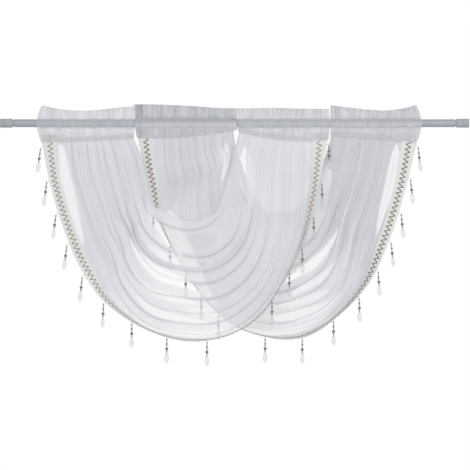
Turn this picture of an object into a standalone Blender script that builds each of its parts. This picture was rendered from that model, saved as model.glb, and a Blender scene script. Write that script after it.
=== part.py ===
"""A short tulle curtain: two sheer swags, one in front of the other, gathered on one slim rod.

Each swag hangs in a U from two headings that sit on the rod, and its hem carries a ribbon
with beaded drops. The origin is the middle of the left end cap's outer face. +X runs along
the rod, +Z is up, and the curtain faces -Y. All sizes are in metres.
"""

import math
from typing import NamedTuple

import bmesh
import bpy
from mathutils import Vector

ROD_SPAN = 0.985
ROD_DIAMETER = 0.0165
ROD_WALL = 0.001
CAP_DIAMETER = 0.0186
CAP_LENGTH = 0.0265
CAP_NECK_LENGTH = 0.0035
CAP_PLUG_LENGTH = 0.015
CAP_EDGE = 0.0012
ROUND_SIDES = 24
SMOOTH_ANGLE = math.radians(40)

SHEET_THICKNESS = 0.0012
SEWN_GAP = 0.0003
SEAM_GAP = 0.0006  # below a heading's edge, where the sheet's cut end stands square to its slope

POCKET_DIAMETER = 0.0176
POCKET_SIDES = 16
POCKET_WALL = 0.0018
SLEEVE_HALF = 0.0013  # half of the two layers, above and below the pocket
SLEEVE_NECK = 0.0128  # height above and below the rod's middle where the two layers part
SLEEVE_STATION = 0.0085
SLEEVE_SWELL = 0.0006  # thickening where the two layers part
GATHER_DEPTH = 0.0006
RUFFLE_SWAY = 0.0035
CORNER_SHARE = 0.2  # share of a heading's width over which its corners draw in
POCKET_ANGLES = (-52, -18, 18, 52)  # degrees up from level, of the points on the pocket's front
BORE_OVERRUN = 0.03  # how far the bore's cutter runs past a heading's ends

RIBBON_WIDTH = 0.025
RIBBON_FLARE = 0.012  # how much wider it is where it meets a heading
FLARE_SHARE = 0.075
RIBBON_THICKNESS = 0.0012
RIBBON_LIFT = (SHEET_THICKNESS + RIBBON_THICKNESS) / 2 + SEWN_GAP + 0.0002
RIBBON_LINES = (-1.0, -0.55, -0.1)  # across the hem band, from its edge to near its end
CURL_LENGTH = 0.07  # how far the sheet runs level before it turns up from a level hem

SWAG_STATIONS = 33
NUDGE = 0.002  # share of a swag's run, either side of a point, that its directions are taken over
SEAM_SHARE = 0.08  # share of a swag's run that bends to meet its heading's lower edge
FOLD_RISE = 0.3  # share of a swag's run in which its folds grow to their full depth
FOLD_DEPTH_AT_HEADING = 0.15
FOLD_CREST = 0.315  # place of a fold's fullest part, measured up from its lower crease
FOLD_FLANK = 0.66  # place of the line between that crest and the next crease
FOLD_DRIFT = 0.02  # how far a crease wanders, as a share of the way from hem band to rim
DRIFT_ALONG = 9  # radians of that wandering over a swag's run, and across it
DRIFT_ACROSS = 4


class Edge(NamedTuple):
    """A heading's upper or lower edge: its height from end to end, and how far its corners draw in."""

    left: float
    middle: float
    right: float
    left_inset: float
    right_inset: float


class Heading(NamedTuple):
    """A gathered sleeve: its ends on the rod, its upper edge and its lower edge."""

    left: float
    right: float
    top: Edge
    bottom: Edge


class Section(NamedTuple):
    """A swag's crosswise section: its hem, its rim, and the turn of its hem band from front to up."""

    hem_x: float
    hem_y: float
    hem_z: float
    rim_x: float
    rim_y: float
    rim_z: float
    turn: float


class Gather(NamedTuple):
    """One run of waves in gathered cloth: the distance between waves, their start and their strength."""

    spacing: float
    start: float
    strength: float


class Fold(NamedTuple):
    """A fold's lower crease, as a share of the way from the hem band to the rim, and its depth."""

    start: float
    depth: float


class Drop(NamedTuple):
    """One ring of a beaded drop: its distance below the ribbon's edge and its half width."""

    below: float
    half: float


class Swag(NamedTuple):
    """One sheer sheet with the two headings that it hangs from."""

    sections: tuple[Section, ...]
    folds: tuple[Fold, ...]
    left: Heading
    right: Heading
    drops: tuple[float, ...]  # where its drops hang, as shares of the way along the hem
    lean_left: float  # outward run for each metre of drop, on the left and on the right
    lean_right: float


FRONT_LEFT = Heading(
    left=0.0770,
    right=0.2822,
    top=Edge(0.0365, 0.0240, 0.0350, 0.009, 0.001),
    bottom=Edge(-0.0410, -0.0378, -0.0326, 0.009, 0.001),
)
BACK_LEFT = Heading(
    left=0.2832,
    right=0.4977,
    top=Edge(0.0389, 0.0368, 0.0305, 0.001, 0.001),
    bottom=Edge(-0.0315, -0.0279, -0.0140, 0.007, 0.001),
)
FRONT_RIGHT = Heading(
    left=0.4992,
    right=0.6924,
    top=Edge(0.0305, 0.0288, 0.0290, 0.001, 0.001),
    bottom=Edge(-0.0179, -0.0357, -0.0353, 0.001, 0.003),
)
BACK_RIGHT = Heading(
    left=0.6934,
    right=0.8850,
    top=Edge(0.0368, 0.0273, 0.0368, 0.001, 0.009),
    bottom=Edge(-0.0273, -0.0332, -0.0410, 0.001, 0.009),
)

FRONT_SECTIONS = (
    Section(0.0888, 0.000, -0.0420, 0.2810, 0.000, -0.0340, 0),
    Section(0.1061, -0.009, -0.1281, 0.2990, -0.011, -0.0735, 0),
    Section(0.1313, -0.014, -0.2121, 0.3085, -0.016, -0.1134, 4),
    Section(0.1670, -0.018, -0.2982, 0.3145, -0.020, -0.1470, 3),
    Section(0.2180, -0.028, -0.3717, 0.3235, -0.024, -0.1715, 57),
    Section(0.2982, -0.036, -0.4274, 0.3423, -0.027, -0.1827, 85),
    Section(0.3864, -0.040, -0.4557, 0.3696, -0.029, -0.1974, 82),
    Section(0.4746, -0.040, -0.4463, 0.4011, -0.029, -0.2048, 88),
    Section(0.5460, -0.040, -0.4032, 0.4326, -0.027, -0.2006, 88),
    Section(0.5964, -0.038, -0.3297, 0.4557, -0.023, -0.1827, 87),
    Section(0.6390, -0.032, -0.2478, 0.4673, -0.018, -0.1449, 69),
    Section(0.6672, -0.018, -0.1491, 0.4830, -0.011, -0.0950, 42),
    Section(0.6872, 0.000, -0.0380, 0.5019, 0.000, -0.0200, 6),
)
BACK_SECTIONS = (
    Section(0.2898, 0.000, -0.0330, 0.4904, 0.000, -0.0155, 0),
    Section(0.3065, 0.011, -0.1113, 0.4950, 0.007, -0.0500, 0),
    Section(0.3255, 0.010, -0.1911, 0.5082, 0.012, -0.0882, 64),
    Section(0.3645, 0.008, -0.2709, 0.5229, 0.016, -0.1302, 88),
    Section(0.4137, 0.005, -0.3507, 0.5366, 0.019, -0.1596, 87),
    Section(0.4788, 0.002, -0.4179, 0.5565, 0.021, -0.1806, 88),
    Section(0.5565, -0.005, -0.4494, 0.5817, 0.022, -0.1869, 85),
    Section(0.6384, -0.009, -0.4494, 0.6090, 0.021, -0.1848, 78),
    Section(0.7098, -0.006, -0.4053, 0.6321, 0.019, -0.1680, 82),
    Section(0.7749, 0.002, -0.3360, 0.6531, 0.016, -0.1407, 57),
    Section(0.8180, 0.006, -0.2457, 0.6720, 0.012, -0.1071, 14),
    Section(0.8495, 0.004, -0.1449, 0.6825, 0.008, -0.0735, 0),
    Section(0.8747, 0.000, -0.0399, 0.6951, 0.000, -0.0300, 0),
)
FRONT_FOLDS = (
    Fold(0.00, 0.003),
    Fold(0.15, 0.008),
    Fold(0.28, 0.009),
    Fold(0.41, 0.011),
    Fold(0.53, 0.010),
    Fold(0.64, 0.011),
    Fold(0.76, 0.009),
)
BACK_FOLDS = (
    Fold(0.00, 0.003),
    Fold(0.13, 0.007),
    Fold(0.29, 0.009),
    Fold(0.40, 0.007),
    Fold(0.52, 0.009),
    Fold(0.67, 0.008),
    Fold(0.80, 0.006),
)
FRONT_DROPS = (
    0.012, 0.075, 0.143, 0.205, 0.271, 0.336, 0.397, 0.467, 0.545, 0.706, 0.770, 0.821, 0.880, 0.934, 0.991,
)
BACK_DROPS = (
    0.018, 0.081, 0.159, 0.234, 0.294, 0.345, 0.392, 0.500,
    0.579, 0.655, 0.720, 0.778, 0.832, 0.883, 0.939, 0.992,
)
GATHERS = (Gather(0.017, 0.0, 0.6), Gather(0.029, 0.0046, 0.4))
DROP_RINGS = (
    Drop(0.0000, 0.0008),
    Drop(0.0090, 0.0008),
    Drop(0.0120, 0.0020),
    Drop(0.0210, 0.0013),
    Drop(0.0265, 0.0046),
    Drop(0.0325, 0.0022),
    Drop(0.0380, 0.0050),
    Drop(0.0540, 0.0016),
)
DROP_ROOT = 0.0015  # how far a drop's thread runs into the ribbon
DROP_ROOT_HALF = 0.0005
DROP_STAND_OFF = 0.005  # how far outside the ribbon's edge a thread hangs

FRONT_SWAG = Swag(
    sections=FRONT_SECTIONS,
    folds=FRONT_FOLDS,
    left=FRONT_LEFT,
    right=FRONT_RIGHT,
    drops=FRONT_DROPS,
    lean_left=0.13,
    lean_right=0.03,
)
BACK_SWAG = Swag(
    sections=BACK_SECTIONS,
    folds=BACK_FOLDS,
    left=BACK_LEFT,
    right=BACK_RIGHT,
    drops=BACK_DROPS,
    lean_left=0.0,
    lean_right=0.11,
)


def clear_scene():
    """Removes every object of the startup scene."""
    for thing in list(bpy.data.objects):
        bpy.data.objects.remove(thing)


def make_material(name, colour, roughness, metallic=0.0, alpha=1.0):
    """A Principled material."""
    material = bpy.data.materials.new(name)
    material.use_nodes = True
    shader = material.node_tree.nodes["Principled BSDF"]
    shader.inputs["Base Color"].default_value = (*colour, 1.0)
    shader.inputs["Roughness"].default_value = roughness
    shader.inputs["Metallic"].default_value = metallic
    shader.inputs["Alpha"].default_value = alpha
    return material


def make_object(name, mesh_source, material):
    """A new object from a bmesh, with its faces turned out."""
    bmesh.ops.recalc_face_normals(mesh_source, faces=mesh_source.faces)
    mesh = bpy.data.meshes.new(name)
    mesh_source.to_mesh(mesh)
    mesh_source.free()
    mesh.materials.append(material)
    made = bpy.data.objects.new(name, mesh)
    bpy.context.scene.collection.objects.link(made)
    return made


def catmull_rom(before, start, end, after, step):
    """A value on the smooth curve from start to end."""
    return 0.5 * (
        2 * start
        + (end - before) * step
        + (2 * before - 5 * start + 4 * end - after) * step**2
        + (3 * start - before - 3 * end + after) * step**3
    )


def section_at(sections, along):
    """The section at a share of the way along a swag, on a smooth curve through the rows."""
    last = len(sections) - 1
    first = min(int(along * last), last - 1)
    rows = [sections[min(max(first + k, 0), last)] for k in (-1, 0, 1, 2)]
    step = along * last - first
    return Section(*(catmull_rom(*values, step) for values in zip(*rows)))


def through_three(start, middle, end, share):
    """A value on the parabola through three values at shares 0, 0.5 and 1."""
    return (
        start * (1 - share) * (1 - 2 * share)
        + middle * 4 * share * (1 - share)
        + end * share * (2 * share - 1)
    )


def heading_edges(heading, x):
    """The heights of a heading's upper and lower edge at x."""
    share = (x - heading.left) / (heading.right - heading.left)
    return (
        through_three(heading.top.left, heading.top.middle, heading.top.right, share),
        through_three(heading.bottom.left, heading.bottom.middle, heading.bottom.right, share),
    )


def smooth_step(value):
    """0 below 0, 1 above 1, and a smooth rise between."""
    value = min(max(value, 0.0), 1.0)
    return value * value * (3 - 2 * value)


def hem_point(swag, along):
    """The hem's place, and the direction across its band to the rim."""
    section = section_at(swag.sections, along)
    before = section_at(swag.sections, max(along - NUDGE, 0.0))
    after = section_at(swag.sections, min(along + NUDGE, 1.0))
    run = Vector([after[k] - before[k] for k in range(3)]).normalized()
    inward = Vector((-run.z, 0.0, run.x)).normalized()
    turn = math.radians(section.turn)
    across = inward * math.cos(turn) + Vector((0.0, 1.0, 0.0)) * math.sin(turn)
    return Vector(section[:3]), across


def fold_depth(swag, share, along):
    """How far the folds bring the sheet forward at a share of the way from hem band to rim."""
    wander = math.sin(DRIFT_ALONG * along + DRIFT_ACROSS * share)
    share += FOLD_DRIFT * wander * 4 * share * (1 - share)
    starts = [fold.start for fold in swag.folds] + [1.0]
    depth = 0.0
    for fold, start, end in zip(swag.folds, starts, starts[1:]):
        if start < share < end:
            place = ((share - start) / (end - start)) ** (math.log(0.5) / math.log(FOLD_CREST))
            depth = fold.depth * math.sin(math.pi * place)
    rise = smooth_step(along / FOLD_RISE) * smooth_step((1 - along) / FOLD_RISE)
    return depth * (FOLD_DEPTH_AT_HEADING + (1 - FOLD_DEPTH_AT_HEADING) * rise)


def ribbon_width(along):
    """The width of a ribbon, which widens to its two ends."""
    return RIBBON_WIDTH + RIBBON_FLARE * max(0.0, 1 - min(along, 1 - along) / FLARE_SHARE)


def base_point(swag, across, along):
    """The sheet without its folds. Across runs from -1 at the hem, by 0 at its band's end, to 1."""
    hem, band = hem_point(swag, along)
    width = ribbon_width(along)
    if across <= 0:
        return hem + band * width * (across + 1)
    section = section_at(swag.sections, along)
    start = hem + band * width
    rim = Vector((section.rim_x, section.rim_y, section.rim_z))
    chord = rim - start
    turn = math.radians(section.turn)
    leave = chord * math.cos(turn) + band * CURL_LENGTH * math.sin(turn)
    t = across
    return (
        start * (1 + 2 * t) * (1 - t) ** 2
        + leave * t * (1 - t) ** 2
        + rim * t * t * (3 - 2 * t)
        + chord * t * t * (t - 1)
    )


def sheet_point(swag, across, along):
    """A point of the sheet, folds and all, with its ends brought to the headings' lower edges."""
    point = base_point(swag, across, along)
    for heading, end, reach in ((swag.left, 0.0, along), (swag.right, 1.0, 1 - along)):
        if reach < SEAM_SHARE:
            seat = base_point(swag, across, end)
            seam = heading_edges(heading, seat.x)[1] - SEAM_GAP
            point.z += (seam - seat.z) * (1 - smooth_step(reach / SEAM_SHARE))
            point.y -= seat.y * (1 - smooth_step(reach / SEAM_SHARE))
    if across > 0:
        point.y -= fold_depth(swag, across, along)
    return point


def sheet_normal(swag, across, along):
    """The direction out of the sheet's front face."""
    before = sheet_point(swag, across, max(along - 2 * NUDGE, 0.0))
    after = sheet_point(swag, across, min(along + 2 * NUDGE, 1.0))
    below = sheet_point(swag, max(across - 2 * NUDGE, -1.0), along)
    above = sheet_point(swag, min(across + 2 * NUDGE, 0.0), along)
    return (after - before).cross(above - below).normalized()


def fold_lines(swag):
    """The places across a sheet that its mesh has lines at: its band, then each crease and crest."""
    starts = [fold.start for fold in swag.folds] + [1.0]
    lines = list(RIBBON_LINES)
    for start, end in zip(starts, starts[1:]):
        lines += [start + (end - start) * share for share in (0.0, FOLD_CREST, FOLD_FLANK)]
    return lines + [1.0]


def make_sheet(name, rows, thickness, material):
    """Cloth through rows of points, in triangles, given its thickness on both sides."""
    mesh_source = bmesh.new()
    rows = [[mesh_source.verts.new(point) for point in row] for row in rows]
    for here, there in zip(rows, rows[1:]):
        for k in range(len(here) - 1):
            mesh_source.faces.new((here[k], there[k], there[k + 1]))
            mesh_source.faces.new((here[k], there[k + 1], here[k + 1]))
    sheet = make_object(name, mesh_source, material)
    thicken = sheet.modifiers.new("Cloth", "SOLIDIFY")
    thicken.thickness = thickness
    thicken.offset = 0.0
    return sheet


def stations():
    """The shares of the way along a swag that its cloth has rows of points at."""
    return [station / (SWAG_STATIONS - 1) for station in range(SWAG_STATIONS)]


def make_panel(name, swag, material):
    """A swag's sheet on its folds."""
    lines = fold_lines(swag)
    rows = [[sheet_point(swag, across, along) for across in lines] for along in stations()]
    return make_sheet(name, rows, SHEET_THICKNESS, material)


def skin_rings(mesh_source, rings):
    """Closes a run of rings into one body: its sides, and a face over each end."""
    rings = [[mesh_source.verts.new(point) for point in ring] for ring in rings]
    for here, there in zip(rings, rings[1:]):
        for k in range(len(here)):
            after = (k + 1) % len(here)
            mesh_source.faces.new((here[k], here[after], there[after], there[k]))
    ends = [mesh_source.faces.new(rings[0][::-1]), mesh_source.faces.new(rings[-1])]
    bmesh.ops.triangulate(mesh_source, faces=ends)


def add_cut(body, cutter, operation):
    """A Boolean of one body with another, which then stays out of the render."""
    cut = body.modifiers.new(cutter.name, "BOOLEAN")
    cut.operation = operation
    cut.object = cutter
    cutter.hide_render = True
    cutter.display_type = "WIRE"


def gather_wave(x):
    """The gathers' place between -1 and 1 at x."""
    return sum(g.strength * math.sin(2 * math.pi * (x + g.start) / g.spacing) for g in GATHERS)


def corner_shift(edge, share):
    """How far along the rod an edge's point moves at a share of the heading's width."""
    left = edge.left_inset * max(0.0, 1 - share / CORNER_SHARE)
    right = edge.right_inset * max(0.0, 1 - (1 - share) / CORNER_SHARE)
    return left - right


def heading_ring(heading, share):
    """The outline of a heading's section at a share of its width, up its front and down its back."""
    x = heading.left + share * (heading.right - heading.left)
    top_shift, bottom_shift = corner_shift(heading.top, share), corner_shift(heading.bottom, share)
    top = heading_edges(heading, x + top_shift)[0]
    bottom = heading_edges(heading, x + bottom_shift)[1]
    wall = POCKET_DIAMETER / 2 + POCKET_WALL + GATHER_DEPTH * gather_wave(x)
    neck = SLEEVE_HALF + SLEEVE_SWELL
    front = [(-SLEEVE_HALF, bottom), (-neck, min(-SLEEVE_NECK, bottom + SLEEVE_SWELL))]
    for degrees in POCKET_ANGLES:
        angle = math.radians(degrees)
        front.append((-wall * math.cos(angle), wall * math.sin(angle)))
    front += [(-neck, SLEEVE_NECK), (-SLEEVE_HALF, top)]
    ring = []
    for y, z in front + [(-y, z) for y, z in reversed(front)]:
        shift = top_shift * (z / top) ** 2 if z > 0 else bottom_shift * (z / bottom) ** 2
        over_neck = max(0.0, (z - SLEEVE_NECK) / (top - SLEEVE_NECK))
        ring.append((x + shift, y + RUFFLE_SWAY * gather_wave(x) * over_neck, z))
    return ring


def make_heading(name, heading, material):
    """A gathered sleeve: one body round the rod, with the rod's way bored through it."""
    mesh_source = bmesh.new()
    count = round((heading.right - heading.left) / SLEEVE_STATION)
    skin_rings(mesh_source, [heading_ring(heading, k / count) for k in range(count + 1)])
    sleeve = make_object(name, mesh_source, material)
    bore_source = bmesh.new()
    bore_ends = (heading.left - BORE_OVERRUN, heading.right + BORE_OVERRUN)
    skin_rings(bore_source, [round_ring(x, POCKET_DIAMETER / 2, POCKET_SIDES) for x in bore_ends])
    add_cut(sleeve, make_object(name + "_bore", bore_source, material), "DIFFERENCE")
    return sleeve


def round_ring(x, radius, sides):
    """Points round the rod's axis at x."""
    return [
        (x, radius * math.cos(2 * math.pi * k / sides), radius * math.sin(2 * math.pi * k / sides))
        for k in range(sides)
    ]


def make_rod(name, material):
    """The rod's tube, open at both ends for the caps' plugs."""
    ends = (CAP_LENGTH + CAP_NECK_LENGTH, ROD_SPAN - CAP_LENGTH - CAP_NECK_LENGTH)
    mesh_source = bmesh.new()
    outer, inner = ROD_DIAMETER / 2, ROD_DIAMETER / 2 - ROD_WALL
    path = [(ends[0], inner), (ends[0], outer), (ends[1], outer), (ends[1], inner)]
    rings = [
        [mesh_source.verts.new(point) for point in round_ring(x, radius, ROUND_SIDES)] for x, radius in path
    ]
    for here, there in zip(rings, rings[1:] + rings[:1]):
        for k in range(ROUND_SIDES):
            after = (k + 1) % ROUND_SIDES
            mesh_source.faces.new((here[k], here[after], there[after], there[k]))
    tube = make_object(name, mesh_source, material)
    tube.data.shade_smooth()
    tube.data.set_sharp_from_angle(angle=SMOOTH_ANGLE)
    return tube


def make_cap(name, outer_x, inward, material):
    """A rubber foot: a round cap with a flat face, a narrow neck and a plug in the tube's bore."""
    plug = ROD_DIAMETER / 2 - ROD_WALL - SEWN_GAP
    radius = CAP_DIAMETER / 2
    neck_end = CAP_LENGTH + CAP_NECK_LENGTH
    profile = (
        (0.0, radius - CAP_EDGE),
        (CAP_EDGE, radius),
        (CAP_LENGTH - CAP_EDGE, radius),
        (CAP_LENGTH, radius - CAP_EDGE),
        (CAP_LENGTH, plug),
        (neck_end + CAP_PLUG_LENGTH, plug),
    )
    mesh_source = bmesh.new()
    skin_rings(
        mesh_source,
        [round_ring(outer_x + inward * depth, size, ROUND_SIDES) for depth, size in profile],
    )
    cap = make_object(name, mesh_source, material)
    cap.data.shade_smooth()
    cap.data.set_sharp_from_angle(angle=SMOOTH_ANGLE)
    return cap


def ribbon_point(swag, across, along):
    """A point of the ribbon's middle layer, which lies a sewn gap in front of the hem band."""
    return sheet_point(swag, across, along) + sheet_normal(swag, across, along) * RIBBON_LIFT


def drop_rings(swag, along):
    """The rings of one beaded drop, from its root in the ribbon to its tip."""
    _, band = hem_point(swag, along)
    before, rest = divmod(along * (SWAG_STATIONS - 1), 1)
    near, far = (ribbon_point(swag, -1.0, (before + k) / (SWAG_STATIONS - 1)) for k in (0, 1))
    edge = near.lerp(far, rest)
    start = edge - band * DROP_STAND_OFF
    lean = -band.x * (swag.lean_left if band.x > 0 else swag.lean_right)
    side = Vector((math.hypot(band.y, band.z), 0.0, -band.x)).normalized()
    front = band.cross(side).normalized()
    corners = ((1, 0), (0, 1), (-1, 0), (0, -1))
    root = edge + band * DROP_ROOT
    rings = [[root + (side * a + front * b) * DROP_ROOT_HALF for a, b in corners]]
    for ring in DROP_RINGS:
        middle = start + Vector((lean * ring.below, 0.0, -ring.below))
        rings.append([middle + Vector((a, b, 0.0)) * ring.half for a, b in corners])
    return rings


def make_trim(name, swag, material):
    """A hem's ribbon with its drops fused to its outer edge."""
    rows = [[ribbon_point(swag, across, along) for across in RIBBON_LINES] for along in stations()]
    trim = make_sheet(name, rows, RIBBON_THICKNESS, material)
    for number, along in enumerate(swag.drops, 1):
        mesh_source = bmesh.new()
        skin_rings(mesh_source, drop_rings(swag, along))
        add_cut(trim, make_object(f"{name}_drop_{number}", mesh_source, material), "UNION")
    return trim


def main():
    """Builds the whole curtain."""
    clear_scene()
    paint = make_material("rod_paint", (0.36, 0.38, 0.45), 0.4, 0.3)
    rubber = make_material("cap_rubber", (0.35, 0.38, 0.38), 0.7)
    tulle = make_material("tulle", (0.80, 0.80, 0.83), 0.9, alpha=0.6)
    gathered = make_material("gathered_tulle", (0.76, 0.76, 0.80), 0.9, alpha=0.9)
    ribbon = make_material("ribbon", (0.72, 0.68, 0.60), 0.8)
    make_rod("rod_tube", paint)
    make_cap("end_cap_left", 0.0, 1, rubber)
    make_cap("end_cap_right", ROD_SPAN, -1, rubber)
    make_heading("heading_front_left", FRONT_LEFT, gathered)
    make_heading("heading_front_right", FRONT_RIGHT, gathered)
    make_heading("heading_back_left", BACK_LEFT, gathered)
    make_heading("heading_back_right", BACK_RIGHT, gathered)
    make_panel("panel_front", FRONT_SWAG, tulle)
    make_panel("panel_back", BACK_SWAG, tulle)
    make_trim("trim_front", FRONT_SWAG, ribbon)
    make_trim("trim_back", BACK_SWAG, ribbon)


if __name__ == "__main__":
    main()
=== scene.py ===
"""The looks of a short tulle curtain: two beaded swags that hang from gathered headings on a slim rod.

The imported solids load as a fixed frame. Each sub-assembly below is a class that builds its meshes in
metres, in the frame's own axes: +X along the rod, +Z up, and the curtain's front facing -Y.
"""

import logging
import math
from dataclasses import dataclass
from enum import Enum

import bpy
import numpy as np
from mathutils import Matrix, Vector

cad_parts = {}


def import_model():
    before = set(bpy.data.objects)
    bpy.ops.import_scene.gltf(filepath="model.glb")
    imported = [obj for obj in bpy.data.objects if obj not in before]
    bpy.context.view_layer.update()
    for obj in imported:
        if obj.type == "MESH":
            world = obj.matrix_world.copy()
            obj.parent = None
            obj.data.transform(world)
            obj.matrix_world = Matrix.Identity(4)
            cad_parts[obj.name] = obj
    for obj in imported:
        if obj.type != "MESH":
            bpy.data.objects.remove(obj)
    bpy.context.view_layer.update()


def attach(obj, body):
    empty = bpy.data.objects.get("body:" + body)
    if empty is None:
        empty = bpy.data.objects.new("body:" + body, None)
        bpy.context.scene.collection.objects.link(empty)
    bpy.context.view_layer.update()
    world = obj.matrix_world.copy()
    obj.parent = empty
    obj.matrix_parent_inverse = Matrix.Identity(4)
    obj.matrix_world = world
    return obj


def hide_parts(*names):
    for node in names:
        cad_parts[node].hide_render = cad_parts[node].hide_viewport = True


LOG = logging.getLogger("curtain")

Array = np.ndarray
Triple = tuple[float, float, float]
Layout = dict[str, Array]  # repeated items' places, runs, outward directions and sizes
Inputs = dict[str | int, object]  # a node's inputs: for each name or number, a socket or a constant
Piece = bpy.types.Object
Material = bpy.types.Material
Tree = bpy.types.NodeTree
Node = bpy.types.Node
Socket = bpy.types.NodeSocket

TURN = 2 * math.pi

ROD_SPAN = 0.985  # between the flat outer faces of the rod's feet

SEAM_SHARE = 0.08  # share of a swag's run that bends to meet its heading's lower edge
SEAM_GAP = 0.0006  # how far below that edge it ends
CURL_LENGTH = 0.07  # how strongly the sheet keeps the turn of its hem band
RIBBON_WIDTH = 0.025
RIBBON_FLARE = 0.012  # how much wider the ribbon is at a heading
FLARE_SHARE = 0.075  # share of the run over which it widens
RIBBON_EDGE = -0.1  # the ribbon's inner edge, across a hem band that runs from -1 to 0
RIBBON_LIFT = 0.0013  # how far the ribbon lies in front of the band
STITCH_LIFT = RIBBON_LIFT + 0.0003
NUDGE = 0.002  # the step over which a direction on a swag is measured


class BeadKind(Enum):
    """The kinds of bead on a drop."""

    DARK = "dark"
    SILVER = "silver"
    CRYSTAL = "crystal"


def smooth_step(value: Array) -> Array:
    """0 below 0, 1 above 1, and a smooth rise between."""
    value = np.clip(value, 0.0, 1.0)
    return value * value * (3 - 2 * value)


def smooth_rows(rows: Array, share: Array) -> Array:
    """Values on the smooth curves through evenly spaced rows.

    Args:
        rows: one row for each station, one column for each curve.
        share: places from the first row (0) to the last (1).

    Returns:
        One row for each share.
    """
    last = len(rows) - 1
    first = np.clip((share * last).astype(int), 0, last - 1)
    step = (share * last - first)[:, None]
    before, start, end, after = (rows[np.clip(first + k, 0, last)] for k in (-1, 0, 1, 2))
    return 0.5 * (
        2 * start
        + (end - before) * step
        + (2 * before - 5 * start + 4 * end - after) * step**2
        + (3 * start - before - 3 * end + after) * step**3
    )


def through_three(values: Triple, share: Array) -> Array:
    """Values on the parabola through three values.

    Args:
        values: the values at its start, halfway and at its end.
        share: places from its start (0) to its end (1).

    Returns:
        A value for each place.
    """
    start, middle, end = values
    rest = 1 - share
    return start * rest * (1 - 2 * share) + middle * 4 * share * rest + end * share * (2 * share - 1)


def bell(value: Array, middle: float, width: float) -> Array:
    """1 at the middle, falling smoothly to almost 0 at twice the width from it."""
    return np.exp(-(((value - middle) / width) ** 2))


def unit(vectors: Array) -> Array:
    """Vectors brought to length 1."""
    return vectors / np.maximum(np.linalg.norm(vectors, axis=-1, keepdims=True), 1e-12)


def grid_normals(points: Array) -> Array:
    """The normals of a grid of points, out of the side that its rows and columns turn round to."""
    return unit(np.cross(np.gradient(points, axis=0), np.gradient(points, axis=1)))


def run_along(points: Array) -> Array:
    """The distance from the first of a row of points to each of them, along the row."""
    return np.concatenate([[0.0], np.cumsum(np.linalg.norm(np.diff(points, axis=0), axis=1))])


def declare(piece: Piece, node: str = "") -> None:
    """Tells the frame about a piece. It rides on the one body that there is.

    Args:
        piece: the piece.
        node: the CAD node that it stands for, if it replaces one.
    """
    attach(piece, "root")
    if node:
        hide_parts(node)


def add_node(tree: Tree, kind: str, values: Inputs | None = None, **settings: object) -> Node:
    """A new node with its settings and inputs.

    Args:
        tree: the tree that it goes in.
        kind: its type.
        values: what its inputs get.
        **settings: properties of the node by name.

    Returns:
        The node.
    """
    node = tree.nodes.new(kind)
    for name, value in settings.items():
        setattr(node, name, value)
    for name, value in (values or {}).items():
        if isinstance(value, Socket):
            tree.links.new(value, node.inputs[name])
        else:
            node.inputs[name].default_value = value
    return node


def math_node(tree: Tree, operation: str, first: Socket | float, second: Socket | float) -> Socket:
    """The result of a Math node on two inputs."""
    return add_node(tree, "ShaderNodeMath", {0: first, 1: second}, operation=operation).outputs[0]


def mixed_colour(tree: Tree, factor: Socket, first: Triple, second: Triple) -> Socket:
    """A colour between two, by a factor that is the second one's share."""
    values = {"Factor": factor, 6: (*first, 1.0), 7: (*second, 1.0)}
    return add_node(tree, "ShaderNodeMix", values, data_type="RGBA").outputs[2]


def bumped(tree: Tree, height: Socket, distance: float, strength: float) -> Socket:
    """The normal that a Bump node makes from a height."""
    values = {"Height": height, "Distance": distance, "Strength": strength}
    return add_node(tree, "ShaderNodeBump", values).outputs["Normal"]


def new_material(name: str, colour: Triple, roughness: float, **constants: float) -> Material:
    """A material with its constants on the Principled shader's own sockets.

    Args:
        name: its name.
        colour: its base colour.
        roughness: its roughness.
        **constants: other sockets by name, with underscores for spaces.

    Returns:
        The material.
    """
    material = bpy.data.materials.new(name)
    material.use_nodes = True
    inputs = material.node_tree.nodes["Principled BSDF"].inputs
    inputs["Base Color"].default_value = (*colour, 1.0)
    inputs["Roughness"].default_value = roughness
    for label, value in constants.items():
        inputs[label.replace("_", " ")].default_value = value
    return material


def feed(material: Material, **sockets: Socket) -> None:
    """Links sockets to inputs of the material's shader, named with underscores for spaces."""
    tree = material.node_tree
    for label, socket in sockets.items():
        tree.links.new(socket, tree.nodes["Principled BSDF"].inputs[label.replace("_", " ")])


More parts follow.
